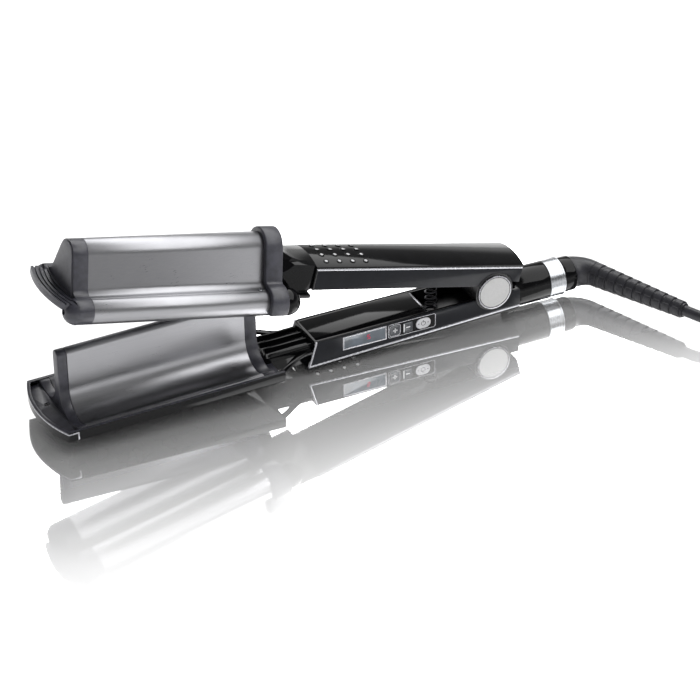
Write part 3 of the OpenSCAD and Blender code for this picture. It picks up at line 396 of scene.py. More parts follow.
paints = {
    "gloss": glossyBlack(),
    # PPS with glass fibre: violet-grey, half matt, faintly mottled where the fibre lies near the face
    "cap": mouldedGrain("mouldedPps", "#303037", "#42424b", 0.36, 0.5, 0.012, 5.0),
    # ABS with a fine spark grain: nearly black with a slate tint, satin
    "panel": mouldedGrain("satinMouldedAbs", "#0e1016", "#15171d", 0.36, 0.4, 0.004, 8.0, 0.15),
    # Nylon inside the tool: near black and matt; the same near black is painted shade in the hinge discs'
    # grooves
    "inner": mouldedGrain("nearBlackNylonAndPaintedShade", "#121214", "#1b1b1e", 0.4, 0.6, 0.02, 6.0),
    "button": mouldedGrain("mouldedAbsKey", "#26292f", "#33373e", 0.3, 0.4, 0.01, 5.0),
    "keyPale": mouldedGrain("mouldedAbsPale", "#b8b8bc", "#c8c8cb", 0.34, 0.4, 0.008, 4.0),
    "cream": mouldedGrain("mouldedPhenolic", "#cbc4b2", "#dcd6c8", 0.5, 0.5, 0.02, 4.0),
    # Titanium-coated aluminium, belt finished along the jaw
    "plate": brushedMetal("satinTitanium", "#949497", "#9a9a9d", 0.33, (0.02, 1.0, 1.0), 0.3, 0.0001, 0.25),
    # Turned and polished steel
    "steel": brushedMetal("turnedSteel", "#9fa1a4", "#adafb2", 0.26, (1.0, 0.004, 0.004), 0.3, 0.0006),
    # Spring wire painted dark grey, darker than bare steel: painted shade for the spring's place deep in the
    # hinge
    "springSteel": brushedMetal("darkSpringWirePaintedShade", "#3a3a3d", "#48484c", 0.34, (0.05, 1, 1), 0.4, 0.0006),
    "pins": brushedMetal("nickelPlatedBrass", "#c4c2bc", "#d6d5d0", 0.14, (0.05, 1.0, 1.0), 0.4, 0.0008),
    "chrome": mirrorTrim(),
    "disc": satinDisc(),
    "rubber": flexRubber(),
    "window": smokedWindow(),
    "segment": glowingSegment(),
    "printAndHighlightInk": makeInkForPrintAndHighlight(),
    "clay": heaterClay(),
    "board": circuitBoard(),
}
print("materials made:", len(paints))

# Cord: one length from the sleeve through the coil to the plug

cordFacts = {
    "diameter": 6.8, "sleeveEnd": (202.577, -68.600, 14.3), "leaves": (0.406737, -0.913545, 0.0),
    "coilCentre": (282.0, -64.0), "coilOutside": 46.0, "coilPitch": 7.3, "turnsPerLayer": 2.5, "layers": 4,
    "coilStart": 250.0, "pointsPerTurn": 24, "floorHeight": 3.4, "plugPlace": (354.3, -71.5, 6.85),
    "plugTurn": 75.0, "plainPoints": 20, "leadPoints": 24, "pointsPerSpan": 24, "roundness": 4,
    # a new layer's climb starts this much of a turn early and takes this much of a turn
    "climbLead": 0.25, "climbTurns": 0.5,
    "toCoil": ((210.7, -83.4, 13.6), (218.1, -90.4, 11.9), (227.1, -95.1, 8.6), (236.6, -97.8, 5.5),
               (245.6, -100.3, 3.9)),
    "toPlug": ((289.9, -115.8, 24.7), (300.8, -119.8, 22.2), (315.5, -121.9, 17.6), (329.8, -117.9, 12.9),
               (341.2, -108.5, 9.2), (347.9, -95.3, 7.2)),
}


def coilPoints():
    f = cordFacts
    total = f["turnsPerLayer"] * f["layers"]
    points = []
    for i in range(int(total * f["pointsPerTurn"]) + 1):
        t = i / f["pointsPerTurn"]
        layer = math.floor(min(t, total - 0.001) / f["turnsPerLayer"])
        along = t - layer * f["turnsPerLayer"]
        radius = f["coilOutside"] - f["coilPitch"] * (along if layer % 2 == 0 else f["turnsPerLayer"] - along)
        height = f["floorHeight"]
        for k in range(1, f["layers"]):
            s = min(1.0, max(0.0, (t - k * f["turnsPerLayer"] + f["climbLead"]) / f["climbTurns"]))
            height += f["coilPitch"] * s * s * (3 - 2 * s)
        angle = math.radians(f["coilStart"] + 360 * t)
        points.append(Vector((f["coilCentre"][0] + radius * math.cos(angle),
                              f["coilCentre"][1] + radius * math.sin(angle), height)))
    return points


def smoothRun(points, count):
    # Catmull-Rom through the points, then spaced evenly
    padded = [points[0] * 2 - points[1]] + points + [points[-1] * 2 - points[-2]]
    fine = []
    steps = cordFacts["pointsPerSpan"]
    for i in range(len(points) - 1):
        a, b, c, d = padded[i:i + 4]
        for k in range(steps):
            t = k / steps
            fine.append(0.5 * (2 * b + (c - a) * t + (2 * a - 5 * b + 4 * c - d) * t * t
                               + (3 * b - a - 3 * c + d) * t ** 3))
    fine.append(points[-1])
    lengths = [0.0]
    for p, q in zip(fine, fine[1:]):
        lengths.append(lengths[-1] + (q - p).length)
    run, at = [], 0
    for i in range(count + 1):
        want = lengths[-1] * i / count
        while at < len(fine) - 2 and lengths[at + 1] < want:
            at += 1
        share = (want - lengths[at]) / max(1e-9, lengths[at + 1] - lengths[at])
        run.append(fine[at].lerp(fine[at + 1], min(1.0, share)))
    return run


def cordRoute():
    f = cordFacts
    d, leaves = f["diameter"], Vector(f["leaves"])
    coilTurn = math.radians(f["coilStart"])
    along = Vector((-math.sin(coilTurn), math.cos(coilTurn), 0))
    coil = coilPoints()
    coilIn, coilOut = coil[0] - d * along, coil[-1] + d * along
    start = Vector(f["sleeveEnd"])
    plug = Vector(f["plugPlace"])
    plugTurn = math.radians(f["plugTurn"])
    plugWay = Vector((math.cos(plugTurn), math.sin(plugTurn), 0))
    first = smoothRun([start, start + d * leaves] + [Vector(p) for p in f["toCoil"]]
                      + [coilIn - d * along, coilIn], f["plainPoints"])
    lead = smoothRun([coilOut, coilOut + d * along] + [Vector(p) for p in f["toPlug"]]
                     + [plug - 2 * d * plugWay, plug - d * plugWay, plug], f["leadPoints"])
    return [p * mm for p in first + coil + lead]


def makeCord():
    f = cordFacts
    points = cordRoute()
    data = bpy.data.curves.new("mainsCord", "CURVE")
    data.dimensions = "3D"
    spline = data.splines.new("POLY")
    spline.points.add(len(points) - 1)
    for point, place in zip(spline.points, points):
        point.co = (*place, 1.0)
    spline.use_smooth = True
    data.bevel_depth = f["diameter"] / 2 * mm
    data.bevel_resolution = f["roundness"]
    data.use_fill_caps = True
    cord = bpy.data.objects.new("mainsCord", data)
    bpy.context.scene.collection.objects.link(cord)
    settle(cord, "mainsCord", "swivel", paints["rubber"], ("cord", "cord_coil", "plug_lead"))
    return cord, sum((b - a).length for a, b in zip(points, points[1:]))


mainsCord, cordLength = makeCord()
print("cord laid: %.3f m" % cordLength)


# Plug

plugFacts = {
    "width": 35.0, "thickness": 13.7, "length": 36.0, "neck": 10.0, "edge": 2.4, "softEdge": 0.7,
    # (share of the length, width in mm, share of the thickness) from the neck to the face with the pins
    "steps": ((0.3, 14.0, 0.86), (0.45, 33.0, 1.0), (0.55, 35.0, 1.0), (0.85, 35.0, 1.0), (1.0, 33.8, 0.96)),
    "ridges": 5, "ridgePitch": 3.2, "ridgeStart": 0.56, "ridgeSize": (1.2, 23.0, 0.5), "ridgeSink": 0.25,
    "pinSpacing": 18.6, "pinDiameter": 4.0, "pinLength": 19.0, "pinTip": 0.9, "pinSunk": 1.0, "pinSides": 40,
    "bootLength": 10.0, "bootSkin": 0.1, "bootSunk": 0.5, "bootEdge": 0.12, "ridgeEdge": 0.2,
}


def plugFrame():
    x, y, z = cordFacts["plugPlace"]
    return shift(x, y, z) @ turn(cordFacts["plugTurn"], "Z")


def makePlug():
    f = plugFacts
    reach, width, tall = 1.0, f["neck"], 0.8
    bpy.ops.mesh.primitive_cube_add(size=1, location=(reach / 2 * mm, 0, 0),
                                    scale=(reach * mm, width * mm, tall * f["thickness"] * mm))
    plug = bpy.context.object
    applyPlace(plug)
    # neck, flaring shoulder, then the body, each drawn out of the last
    startEdit(plug)
    for share, nextWidth, nextTall in f["steps"]:
        nextReach = share * f["length"]
        pickFaces(plug, lambda c, n, r=reach: n.x > facing and abs(c.x - r * mm) < near)
        bpy.ops.mesh.extrude_region_move(TRANSFORM_OT_translate={"value": ((nextReach - reach) * mm, 0, 0)})
        bpy.ops.transform.resize(value=(1, nextWidth / width, nextTall / tall))
        reach, width, tall = nextReach, nextWidth, nextTall
    pickEdges(plug, lambda a, b: abs(a.x - b.x) > 0.1 * mm)
    bpy.ops.mesh.bevel(offset=f["edge"] * mm, segments=5, profile=0.6, affect="EDGES")
    endEdit()
    addBevel(plug, f["softEdge"], 3, 20)
    # grip ridges across both broad faces
    ridges = []
    for side in (1, -1):
        for i in range(f["ridges"]):
            x = (f["ridgeStart"] * f["length"] + i * f["ridgePitch"]) * mm
            z = side * (f["thickness"] / 2 - f["ridgeSink"]) * mm
            bpy.ops.mesh.primitive_cube_add(size=1, location=(x, 0, z),
                                            scale=tuple(v * mm for v in f["ridgeSize"]))
            ridge = bpy.context.object
            applyPlace(ridge)
            addBevel(ridge, f["ridgeEdge"], 2)
            ridges.append(ridge)
    plug = joinPieces([plug] + ridges)
    moveInto(plug, plugFrame())
    return settle(plug, "plugBody", "swivel", paints["rubber"], ("plug_body",), 35)


def addRod(radius, length, sunk, side):
    # a rod that stands out of the plug's face by its length and is sunk in the body
    f = plugFacts
    place = ((f["length"] + (length - sunk) / 2) * mm, side * f["pinSpacing"] / 2 * mm, 0)
    bpy.ops.mesh.primitive_cylinder_add(vertices=f["pinSides"], radius=radius * mm,
                                        depth=(length + sunk) * mm, location=place,
                                        rotation=(0, math.radians(90), 0))
    rod = bpy.context.object
    applyPlace(rod)
    return rod


def makePins():
    f = plugFacts
    radius = f["pinDiameter"] / 2
    pins, boots = [], []
    for side in (1, -1):
        pin = addRod(radius - f["bootSkin"], f["pinLength"], f["pinSunk"], side)
        startEdit(pin)
        pickFaces(pin, lambda c, n: n.x > facing)
        bpy.ops.mesh.bevel(offset=f["pinTip"] * mm, segments=5, affect="EDGES")
        endEdit()
        pins.append(pin)
        boot = addRod(radius, f["bootLength"], f["bootSunk"], side)
        addBevel(boot, f["bootEdge"], 2)
        boots.append(boot)
    pins = joinPieces(pins)
    moveInto(pins, plugFrame())
    settle(pins, "plugPins", "swivel", paints["pins"], ("plug_pins",))
    boots = joinPieces(boots)
    moveInto(boots, plugFrame())
    settle(boots, "pinInsulation", "swivel", paints["rubber"])
    return pins, boots


plugBody = makePlug()
plugPins, pinInsulation = makePins()
print("plug made")

# Rigid parts: the construction mesh, merged, flats joined, edges rounded as the mould leaves them

roundedEdge = {"sharp": 32.0, "smooth": 32.0, "flat": 0.6, "weld": 0.004}


def copyNode(node):
    piece = nodes[node].copy()
    piece.data = nodes[node].data.copy()
    for key in list(piece.keys()):
        del piece[key]
    bpy.context.scene.collection.objects.link(piece)
    piece.parent = None
    piece.matrix_world = Matrix.Identity(4)
    startEdit(piece)
    bpy.ops.mesh.select_all(action="SELECT")
    bpy.ops.mesh.remove_doubles(threshold=roundedEdge["weld"] * mm)
    bpy.ops.mesh.dissolve_limited(angle_limit=math.radians(roundedEdge["flat"]))
    endEdit()
    return piece


def roundedNode(node, name, body, paint, slot, edge, segments):
    piece = copyNode(node)
    addBevel(piece, edge, segments, roundedEdge["sharp"])
    settle(piece, name, body, paints[paint], (node,), roundedEdge["smooth"])


# node: (piece name, body, paint, slot, edge in mm, segments)
roundedParts = {
    "lower_hull": ("trayHull", "lower_arm", "gloss", "gloss_black", 0.5, 3),
    "tray_trim": ("trayTrimLine", "lower_arm", "chrome", "silver_trim", 0.18, 2),
    "lower_liner": ("trayLiner", "lower_arm", "cap", "jaw_grey", 0.35, 2),
    "lower_wave_plate": ("lowerWavePlate", "lower_arm", "plate", "plate_metal", 0.25, 2),
    "lower_front_cap": ("lowerFrontCap", "lower_arm", "cap", "jaw_grey", 0.7, 3),
    "lower_rear_flange": ("lowerRearFlange", "lower_arm", "cap", "jaw_grey", 0.5, 3),
    "lower_neck": ("lowerNeck", "lower_arm", "gloss", "inner_black", 0.25, 2),
    "lower_handle_shell": ("lowerHandleShell", "lower_arm", "gloss", "gloss_black", 0.35, 3),
    "lower_inner_cover": ("lowerInnerCover", "lower_arm", "gloss", "gloss_black", 0.2, 2),
    "inner_cover_strip": ("innerCoverStrip", "lower_arm", "chrome", "silver_trim", 0.2, 2),
    "lower_near_panel": ("lowerNearPanel", "lower_arm", "panel", "panel_slate", 0.15, 2),
    "lower_far_panel": ("lowerFarPanel", "lower_arm", "panel", "panel_slate", 0.15, 2),
    "lower_side_trims": ("lowerSideTrims", "lower_arm", "chrome", "silver_trim", 0.12, 2),
    "lower_grip_dots": ("lowerGripDots", "lower_arm", "gloss", "dot_white", 0.22, 3),
    "upper_wave_plate": ("upperWavePlate", "upper_arm", "plate", "plate_metal", 0.25, 2),
    "upper_cover": ("upperJawCover", "upper_arm", "plate", "plate_metal", 0.2, 2),
    "upper_front_cap": ("upperFrontCap", "upper_arm", "cap", "jaw_grey", 0.6, 3),
    "upper_rear_flange": ("upperRearFlange", "upper_arm", "cap", "jaw_grey", 0.8, 3),
    "upper_neck": ("upperNeck", "upper_arm", "gloss", "inner_black", 0.35, 3),
    "upper_handle_shell": ("upperHandleShell", "upper_arm", "gloss", "gloss_black", 0.35, 3),
    "upper_inner_cover": ("upperInnerCover", "upper_arm", "gloss", "gloss_black", 0.2, 2),
    "upper_near_panel": ("upperNearPanel", "upper_arm", "panel", "panel_slate", 0.15, 2),
    "upper_far_panel": ("upperFarPanel", "upper_arm", "panel", "panel_slate", 0.15, 2),
    "upper_side_trims": ("upperSideTrims", "upper_arm", "chrome", "silver_trim", 0.12, 2),
    "upper_grip_dots": ("upperGripDots", "upper_arm", "gloss", "dot_white", 0.22, 3),
    "display_bezel": ("displayBezel", "lower_arm", "chrome", "silver_trim", 0.18, 2),
    "swivel_housing": ("swivelHousing", "lower_arm", "gloss", "gloss_black", 0.35, 3),
    "swivel_collar": ("swivelCollar", "swivel", "gloss", "gloss_black", 0.6, 4),
}
for node, facts in roundedParts.items():
    roundedNode(node, *facts)
print("rigid parts rounded:", len(roundedParts))

# Parts that stay as construction pieces, seen only through gaps
plainParts = {
    "lower_heater": "clay", "upper_heater": "clay", "lower_thermostat": "cream", "lower_frame": "inner",
    "upper_frame": "inner", "hinge_pin": "steel", "control_board": "board", "display_module": "window",
    "swivel_spindle": "inner",
}
for node, paint in plainParts.items():
    nodes[node].data.materials.clear()
    nodes[node].data.materials.append(paints[paint])
print("inner parts painted:", len(plainParts))

# Turned and bent pieces: each ring of a profile is drawn out of the last

def turned(profile, sides=64):
    (x0, r0), (x1, r1) = profile[0], profile[1]
    bpy.ops.mesh.primitive_cone_add(vertices=sides, radius1=r0 * mm, radius2=r1 * mm, depth=(x1 - x0) * mm,
                                    location=((x0 + x1) / 2 * mm, 0, 0), rotation=(0, math.radians(90), 0))
    piece = bpy.context.object
    applyPlace(piece)
    startEdit(piece)
    pickFaces(piece, lambda c, n: n.x > facing and math.hypot(c.y, c.z) < near)
    x, r = x1, r1
    for nextX, nextR in profile[2:]:
        bpy.ops.mesh.extrude_region_move(TRANSFORM_OT_translate={"value": ((nextX - x) * mm, 0, 0)})
        bpy.ops.transform.resize(value=(1, nextR / r, nextR / r))
        x, r = nextX, nextR
    endEdit()
    fixNormals(piece)
    return piece


def paintFaces(piece, material, test):
    # a second finish on the faces that the test picks
    piece.data.materials.append(material)
    startEdit(piece)
    pickFaces(piece, test)
    piece.active_material_index = len(piece.data.materials) - 1
    bpy.ops.object.material_slot_assign()
    endEdit()


disc = {
    "thickness": 1.1, "sides": 112, "grooveOuter": 10.1, "grooveInner": 9.8,
    # (depth under the face, radius) from the rim's back edge over rim and groove to the middle
    "profile": ((1.1, 11.0), (0.35, 11.0), (0.1, 10.88), (0.0, 10.65), (0.0, 10.25), (0.1, 10.1),
                (0.5, 10.07), (0.5, 9.8), (0.15, 9.77), (0.06, 9.62), (0.06, 7.0), (0.09, 3.0)),
}


def makeDisc(name, node, side):
    f = disc
    piece = turned([(f["thickness"] - depth, radius) for depth, radius in f["profile"]], f["sides"])
    moveInto(piece, lowerFrame @ turn(90 * side, "Z") @ shift(tool["handleWidth"] / 2, 0, 0))
    settle(piece, name, "lower_arm", paints["disc"], (node,), 28)
    outer, inner = f["grooveOuter"] + 0.02, f["grooveInner"] - 0.02

    def reach(c):
        return math.hypot(c.x / mm - tool["hingeX"], c.z / mm - tool["hingeZ"])
    paintFaces(piece, paints["chrome"], lambda c, n: reach(c) > outer)
    # painted shade: the sunk groove between the disc's face and rim is painted near black
    paintFaces(piece, paints["inner"], lambda c, n: inner < reach(c) <= outer)


makeDisc("nearHingeDisc", "near_hinge_disc", -1)
makeDisc("farHingeDisc", "far_hinge_disc", 1)

swivelBand = {
    # (reach along the swivel, radius): a rounded lip at each end and the band sunk between them
    "profile": ((40.6, 11.2), (40.72, 11.48), (40.95, 11.6), (41.8, 11.6), (41.95, 11.4), (49.65, 11.4),
                (49.8, 11.6), (50.65, 11.6), (50.88, 11.48), (51.0, 11.2)),
    "sides": 96,
}
band = turned(swivelBand["profile"], swivelBand["sides"])
moveInto(band, swivelFrame)
settle(band, "swivelBand", "lower_arm", paints["steel"], ("swivel_ring",), 25)

elbow = {"start": 59.0, "bendRadius": 14.0, "bend": 66.0, "steps": 22, "firstRadius": 9.8, "lastRadius": 7.4,
         "mouth": ((58.65, 9.45), (58.9, 9.75), (59.0, 9.8)), "sides": 56}


def makeElbow():
    f = elbow
    piece = turned(f["mouth"], f["sides"])
    startEdit(piece)
    pickFaces(piece, lambda c, n: n.x > facing and c.x > f["start"] * mm - near)
    pivot = (f["start"] * mm, -f["bendRadius"] * mm, 0)
    step = f["bend"] / f["steps"]
    radius = f["firstRadius"]
    for i in range(1, f["steps"] + 1):
        share = i / f["steps"]
        nextRadius = f["firstRadius"] + (f["lastRadius"] - f["firstRadius"]) * share
        turnedBy = math.radians(step * i)
        centre = (pivot[0] + f["bendRadius"] * math.sin(turnedBy) * mm,
                  pivot[1] + f["bendRadius"] * math.cos(turnedBy) * mm, 0)
        bpy.ops.mesh.extrude_region_move(TRANSFORM_OT_translate={"value": (0, 0, 0)})
        bpy.ops.transform.rotate(value=math.radians(step), orient_axis="Z", center_override=pivot)
        grow = nextRadius / radius
        bpy.ops.transform.resize(value=(grow, grow, grow), center_override=centre)
        radius = nextRadius
    endEdit()
    fixNormals(piece)
    moveInto(piece, swivelFrame)
    settle(piece, "strainElbow", "swivel", paints["rubber"], ("elbow",), 40)


makeElbow()

sleeve = {"length": 66.0, "ribs": 10, "groove": 1.3, "cut": 0.9, "firstRadius": 7.4, "lastRadius": 5.2,
          "edge": 0.4, "draft": 0.04, "bulge": 0.3, "sides": 60, "windowAngle": 34.0, "windowInset": 0.5,
          "windowDepth": 0.35}


def makeSleeve():
    f = sleeve
    pitch = f["length"] / f["ribs"]
    profile = []
    for i in range(f["ribs"]):
        r = f["firstRadius"] + (f["lastRadius"] - f["firstRadius"]) * i / (f["ribs"] - 1)
        low, a, b, e = r - f["cut"], i * pitch, (i + 1) * pitch - f["groove"], f["edge"]
        soft, draft = f["bulge"] * e, f["draft"]
        profile += [(a, low), (a + draft, r - e), (a + soft, r - soft), (a + e, r), (b - e, r),
                    (b - soft, r - soft), (b - draft, r - e), (b, low)]
    profile.append((f["length"], profile[-1][1]))
    piece = turned(profile, f["sides"])
    # shallow windows in the two flanks of every rib
    startEdit(piece)
    wide = pitch - f["groove"] - 2 * f["edge"]

    def onFlank(face):
        c = face.calc_center_median()
        spread = max(v.co.x for v in face.verts) - min(v.co.x for v in face.verts)
        along = math.degrees(math.atan2(abs(c.z), abs(c.y)))
        return spread > (wide - 0.2) * mm and along < f["windowAngle"]
    mesh = bmesh.from_edit_mesh(piece.data)
    bpy.ops.mesh.select_mode(type="FACE")
    for face in mesh.faces:
        face.select_set(onFlank(face))
    bmesh.update_edit_mesh(piece.data)
    bpy.ops.mesh.inset(thickness=f["windowInset"] * mm, depth=-f["windowDepth"] * mm)
    endEdit()
    bend = math.radians(elbow["bend"])
    start = shift(elbow["start"] + elbow["bendRadius"] * math.sin(bend),
                  -elbow["bendRadius"] * (1 - math.cos(bend)), 0)
    moveInto(piece, swivelFrame @ start @ turn(-elbow["bend"], "Z"))
    settle(piece, "ribbedSleeve", "swivel", paints["rubber"], ("ribbed_sleeve",), 24)


makeSleeve()
print("swivel, elbow and sleeve made")

spring = {"turns": 6, "flatTurns": 0.5, "wire": 1.1, "pointsPerTurn": 20, "roundness": 3}


def makeSpring():
    # Compression spring with flat end turns, in the place of its construction solid
    f = spring
    low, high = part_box("opening_spring")
    middle = Vector(((low[0] + high[0]) / 2, (low[1] + high[1]) / 2, 0))
    radius = (high[0] - low[0] - f["wire"] * mm) / 2
    bottom, top = low[2] + f["wire"] / 2 * mm, high[2] - f["wire"] / 2 * mm
    data = bpy.data.curves.new("openingSpring", "CURVE")
    data.dimensions = "3D"
    line = data.splines.new("POLY")
    count = f["turns"] * f["pointsPerTurn"]
    line.points.add(count)
    for i, point in enumerate(line.points):
        t = i / f["pointsPerTurn"]
        climb = min(1.0, max(0.0, (t - f["flatTurns"]) / (f["turns"] - 2 * f["flatTurns"])))
        angle = 2 * math.pi * t
        point.co = (middle.x + radius * math.cos(angle), middle.y + radius * math.sin(angle),
                    bottom + (top - bottom) * climb, 1)
    data.bevel_depth = f["wire"] / 2 * mm
    data.bevel_resolution = f["roundness"]
    data.use_fill_caps = True
    piece = bpy.data.objects.new("openingSpring", data)
    bpy.context.scene.collection.objects.link(piece)
    pickOnly(piece)
    bpy.ops.object.convert(target="MESH")
    # the spring's dark grey wire colour is painted shade
    piece = settle(bpy.context.object, "openingSpring", None, paints["springSteel"],
                   ("opening_spring",), 50)
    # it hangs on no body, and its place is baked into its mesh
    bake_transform(piece)


makeSpring()

# Controls on the lower handle's near side

# name: (reach, length, corner, depth of its dish, paint, slot)
keyRows = {
    "plus": (65.8, 6.2, 1.3, 0.12, "button", "button_grey"),
    "minus": (57.5, 6.2, 0.7, 0.12, "button", "button_grey"),
    "power": (47.2, 9.5, 3.25, 0.1, "keyPale", "button_white"),
}
keys = {
    "drop": 8.5, "panelFace": -14.5, "height": 6.6, "sunk": 0.05,
    "holeGap": 0.3, "holeCorners": (1.3, 0.7, 3.4), "cutStart": 1.0, "cutDepth": 3.0,
    "rim": 0.28, "dishWall": 0.3, "dishFloor": 0.7, "lipCorner": 0.3, "lipDepth": 0.8, "softEdge": 0.12,
    "markFace": -14.8, "markThickness": 0.16, "markWidth": 0.65, "plusMark": 3.0,
    "minusMark": 2.6, "minusMarkReach": 57.2, "minusBar": (0.75, 5.4), "minusBarReach": 59.95,
    "ringRadius": 1.35, "ringDot": 0.42, "ringDots": 14, "ringStart": 120, "ringSweep": 300, "ringDrop": 8.6,
    "powerBar": (0.4, 1.5), "powerBarDrop": 7.3, "sideBar": (0.9, 0.4), "sideReach": 3.1,
    "stripReach": 54.6, "stripSize": (30.6, 8.6), "stripCorner": 1.1, "stripThickness": 0.15,
    # (length, height, corner, how far it stands out)
    "outlineWidth": 0.35, "plusOutline": (7.3, 7.6, 1.7, 0.3), "stripOutline": (31.2, 9.2, 1.4, 0.14),
}


def plate(centre, size, corner, thickness, segments=5):
    # upright plate on the near side: corners rounded, then drawn to its thickness towards the viewer's side
    x, y, z = centre
    bpy.ops.mesh.primitive_plane_add(size=1, location=(0, 0, 0))
    piece = bpy.context.object
    piece.scale = (size[0] * mm, size[1] * mm, 1)
    applyPlace(piece)
    startEdit(piece)
    bpy.ops.mesh.select_all(action="SELECT")
    if corner:
        bpy.ops.mesh.bevel(offset=corner * mm, segments=segments, affect="VERTICES")
    bpy.ops.mesh.select_all(action="SELECT")
    bpy.ops.mesh.extrude_region_move(TRANSFORM_OT_translate={"value": (0, 0, thickness * mm)})
    endEdit()
    fixNormals(piece)
    place = shift(tool["hingeX"] + x, y, tool["hingeZ"] + z) @ turn(90, "X")
    moveInto(piece, place)
    return piece


def cutWith(piece, cutters):
    for cutter in cutters:
        cut = piece.modifiers.new("cut", "BOOLEAN")
        cut.operation = "DIFFERENCE"
        cut.solver = "EXACT"
        cut.object = cutter
        pickOnly(piece)
        bpy.ops.object.modifier_apply(modifier=cut.name)
        bpy.data.objects.remove(cutter)


def makeKey(name, reach, length, corner, dish, paint, slot):
    # a key with a dished face; its body has the name of the part that it stands for
    k, body = keys, name + "_button"
    low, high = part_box(body)
    back = (-reach, high[1] / mm, -k["drop"])
    piece = plate(back, (length, k["height"]), corner, (high[1] - low[1]) / mm, 6)
    startEdit(piece)
    pickFaces(piece, lambda c, n: n.y < -facing and c.y < low[1] + near)
    bpy.ops.mesh.inset(thickness=k["rim"] * mm, depth=0)
    bpy.ops.mesh.inset(thickness=k["dishWall"] * mm, depth=-dish * mm)
    bpy.ops.mesh.inset(thickness=k["dishFloor"] * mm, depth=-0.5 * dish * mm)
    endEdit()
    # the lip that keeps the key behind the panel
    lip = plate(back, ((high[0] - low[0]) / mm, k["height"]), k["lipCorner"], k["lipDepth"], 2)
    piece = joinPieces([piece, lip])
    addBevel(piece, k["softEdge"], 2, 40)
    settle(piece, name + "Key", body, paints[paint], (body,), 35)


def makeBars(name, body, bars, paint, face):
    # printed or moulded marks: thin bars on a key's face, each (x, z, length, height)
    pieces = []
    for x, z, length, height in bars:
        corner = 0.3 * min(length, height)
        pieces.append(plate((x, face, z), (length, height), corner, keys["markThickness"], 2))
    settle(joinPieces(pieces), name, body, paints[paint])


def makeOutline(name, reach, length, height, corner, proud):
    # a fine bright line standing on the panel round a key or the strip
    k = keys
    face, drop, width = k["panelFace"], -k["drop"], k["outlineWidth"]
    outer = plate((-reach, face + k["sunk"], drop), (length, height), corner, proud + k["sunk"], 6)
    hole = plate((-reach, face + k["cutStart"], drop), (length - 2 * width, height - 2 * width),
                 corner - width, k["cutDepth"], 6)
    cutWith(outer, [hole])
    settle(outer, name, "lower_arm", paints["chrome"])


def makeControls():
    k = keys
    drop, stroke, face = -k["drop"], k["markWidth"], k["markFace"]
    for name, row in keyRows.items():
        makeKey(name, *row)
    plus, power = -keyRows["plus"][0], -keyRows["power"][0]
    cross = [(plus, drop, k["plusMark"], stroke), (plus, drop, stroke, k["plusMark"])]
    makeBars("plusMark", "plus_button", cross, "printAndHighlightInk", face)
    dash = [(-k["minusMarkReach"], drop, k["minusMark"], stroke), (-k["minusBarReach"], drop, *k["minusBar"])]
    makeBars("minusMark", "minus_button", dash, "printAndHighlightInk", face)
    # the power sign: a ring of dots open at its top, a bar in the opening, and a short dash at either side
    marks = []
    for i in range(k["ringDots"]):
        angle = math.radians(k["ringStart"] + k["ringSweep"] * i / (k["ringDots"] - 1))
        marks.append((power + k["ringRadius"] * math.cos(angle),
                      k["ringRadius"] * math.sin(angle) - k["ringDrop"], k["ringDot"], k["ringDot"]))
    marks.append((power, -k["powerBarDrop"], *k["powerBar"]))
    for side in (-1, 1):
        marks.append((power + side * k["sideReach"], drop, *k["sideBar"]))
    makeBars("powerMark", "power_button", marks, "button", face)
    # gloss strip that the keys come through, with its bright frame
    strip = plate((-k["stripReach"], k["panelFace"] + k["sunk"], drop), k["stripSize"], k["stripCorner"],
                  k["stripThickness"], 6)
    cutters = []
    for row, corner in zip(keyRows.values(), k["holeCorners"]):
        reach, length = row[:2]
        size = (length + k["holeGap"], k["height"] + k["holeGap"])
        cutters.append(plate((-reach, k["panelFace"] + k["cutStart"], drop), size, corner, k["cutDepth"], 6))
    cutWith(strip, cutters)
    settle(strip, "keyStrip", "lower_arm", paints["gloss"])
    makeOutline("plusOutline", -plus, *k["plusOutline"])
    makeOutline("stripOutline", k["stripReach"], *k["stripOutline"])


figure = {"corner": 0.5, "inset": 0.35, "insetDepth": 0.08, "proud": 0.1, "right": 2.6, "up": 0.3,
          "width": 1.7, "height": 1.3, "stroke": 0.42}


def makeWindow():
    # smoked window over the display, with one lit figure on its face
    low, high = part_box("display_window")
    length, height, deep = ((high[i] - low[i]) / mm for i in (0, 2, 1))
    middle = (low[0] + high[0]) / 2 / mm - tool["hingeX"]
    window = plate((middle, high[1] / mm, -keys["drop"]), (length, height), figure["corner"], deep, 4)
    startEdit(window)
    pickFaces(window, lambda c, n: n.y < -facing)
    bpy.ops.mesh.inset(thickness=figure["inset"] * mm, depth=-figure["insetDepth"] * mm)
    endEdit()
    settle(window, "displayWindow", "lower_arm", paints["window"], ("display_window",))
    face = low[1] / mm + figure["proud"]
    x, z = middle + figure["right"], -keys["drop"] + figure["up"]
    w, h, t = figure["width"], figure["height"], figure["stroke"]
    bars = [(x, z + h, w, t), (x, z, w, t), (x, z - h, w, t), (x - w / 2, z + h / 2, t, h),
            (x + w / 2, z - h / 2, t, h)]
    makeBars("litFigure", "lower_arm", bars, "segment", face)


makeControls()
makeWindow()

# Screws and rivets, rounded like the rigid parts
fasteners = {
    "liner_screws": ("linerScrew", "lower_arm", "inner", "steel", 0.15, 2),
    "upper_cap_screws": ("capScrews", "upper_arm", "inner", "steel", 0.15, 2),
    "upper_rivets": ("neckRivets", "upper_arm", "steel", "steel", 0.25, 3),
}
for node, facts in fasteners.items():
    roundedNode(node, *facts)
print("controls and fasteners made")

# The tray's straight walls are gloss black outside, over the liner's matt inside
linerWall = {"outside": 30.6, "faceTilt": 0.6}
paintFaces(bpy.data.objects["trayLiner"], paints["gloss"],
           lambda c, n: abs(n.y) > linerWall["faceTilt"] and abs(c.y) > linerWall["outside"] * mm)

# The upper panel's trim is black where it turns up its slanted front end
trimFront = {"reach": 6.0}


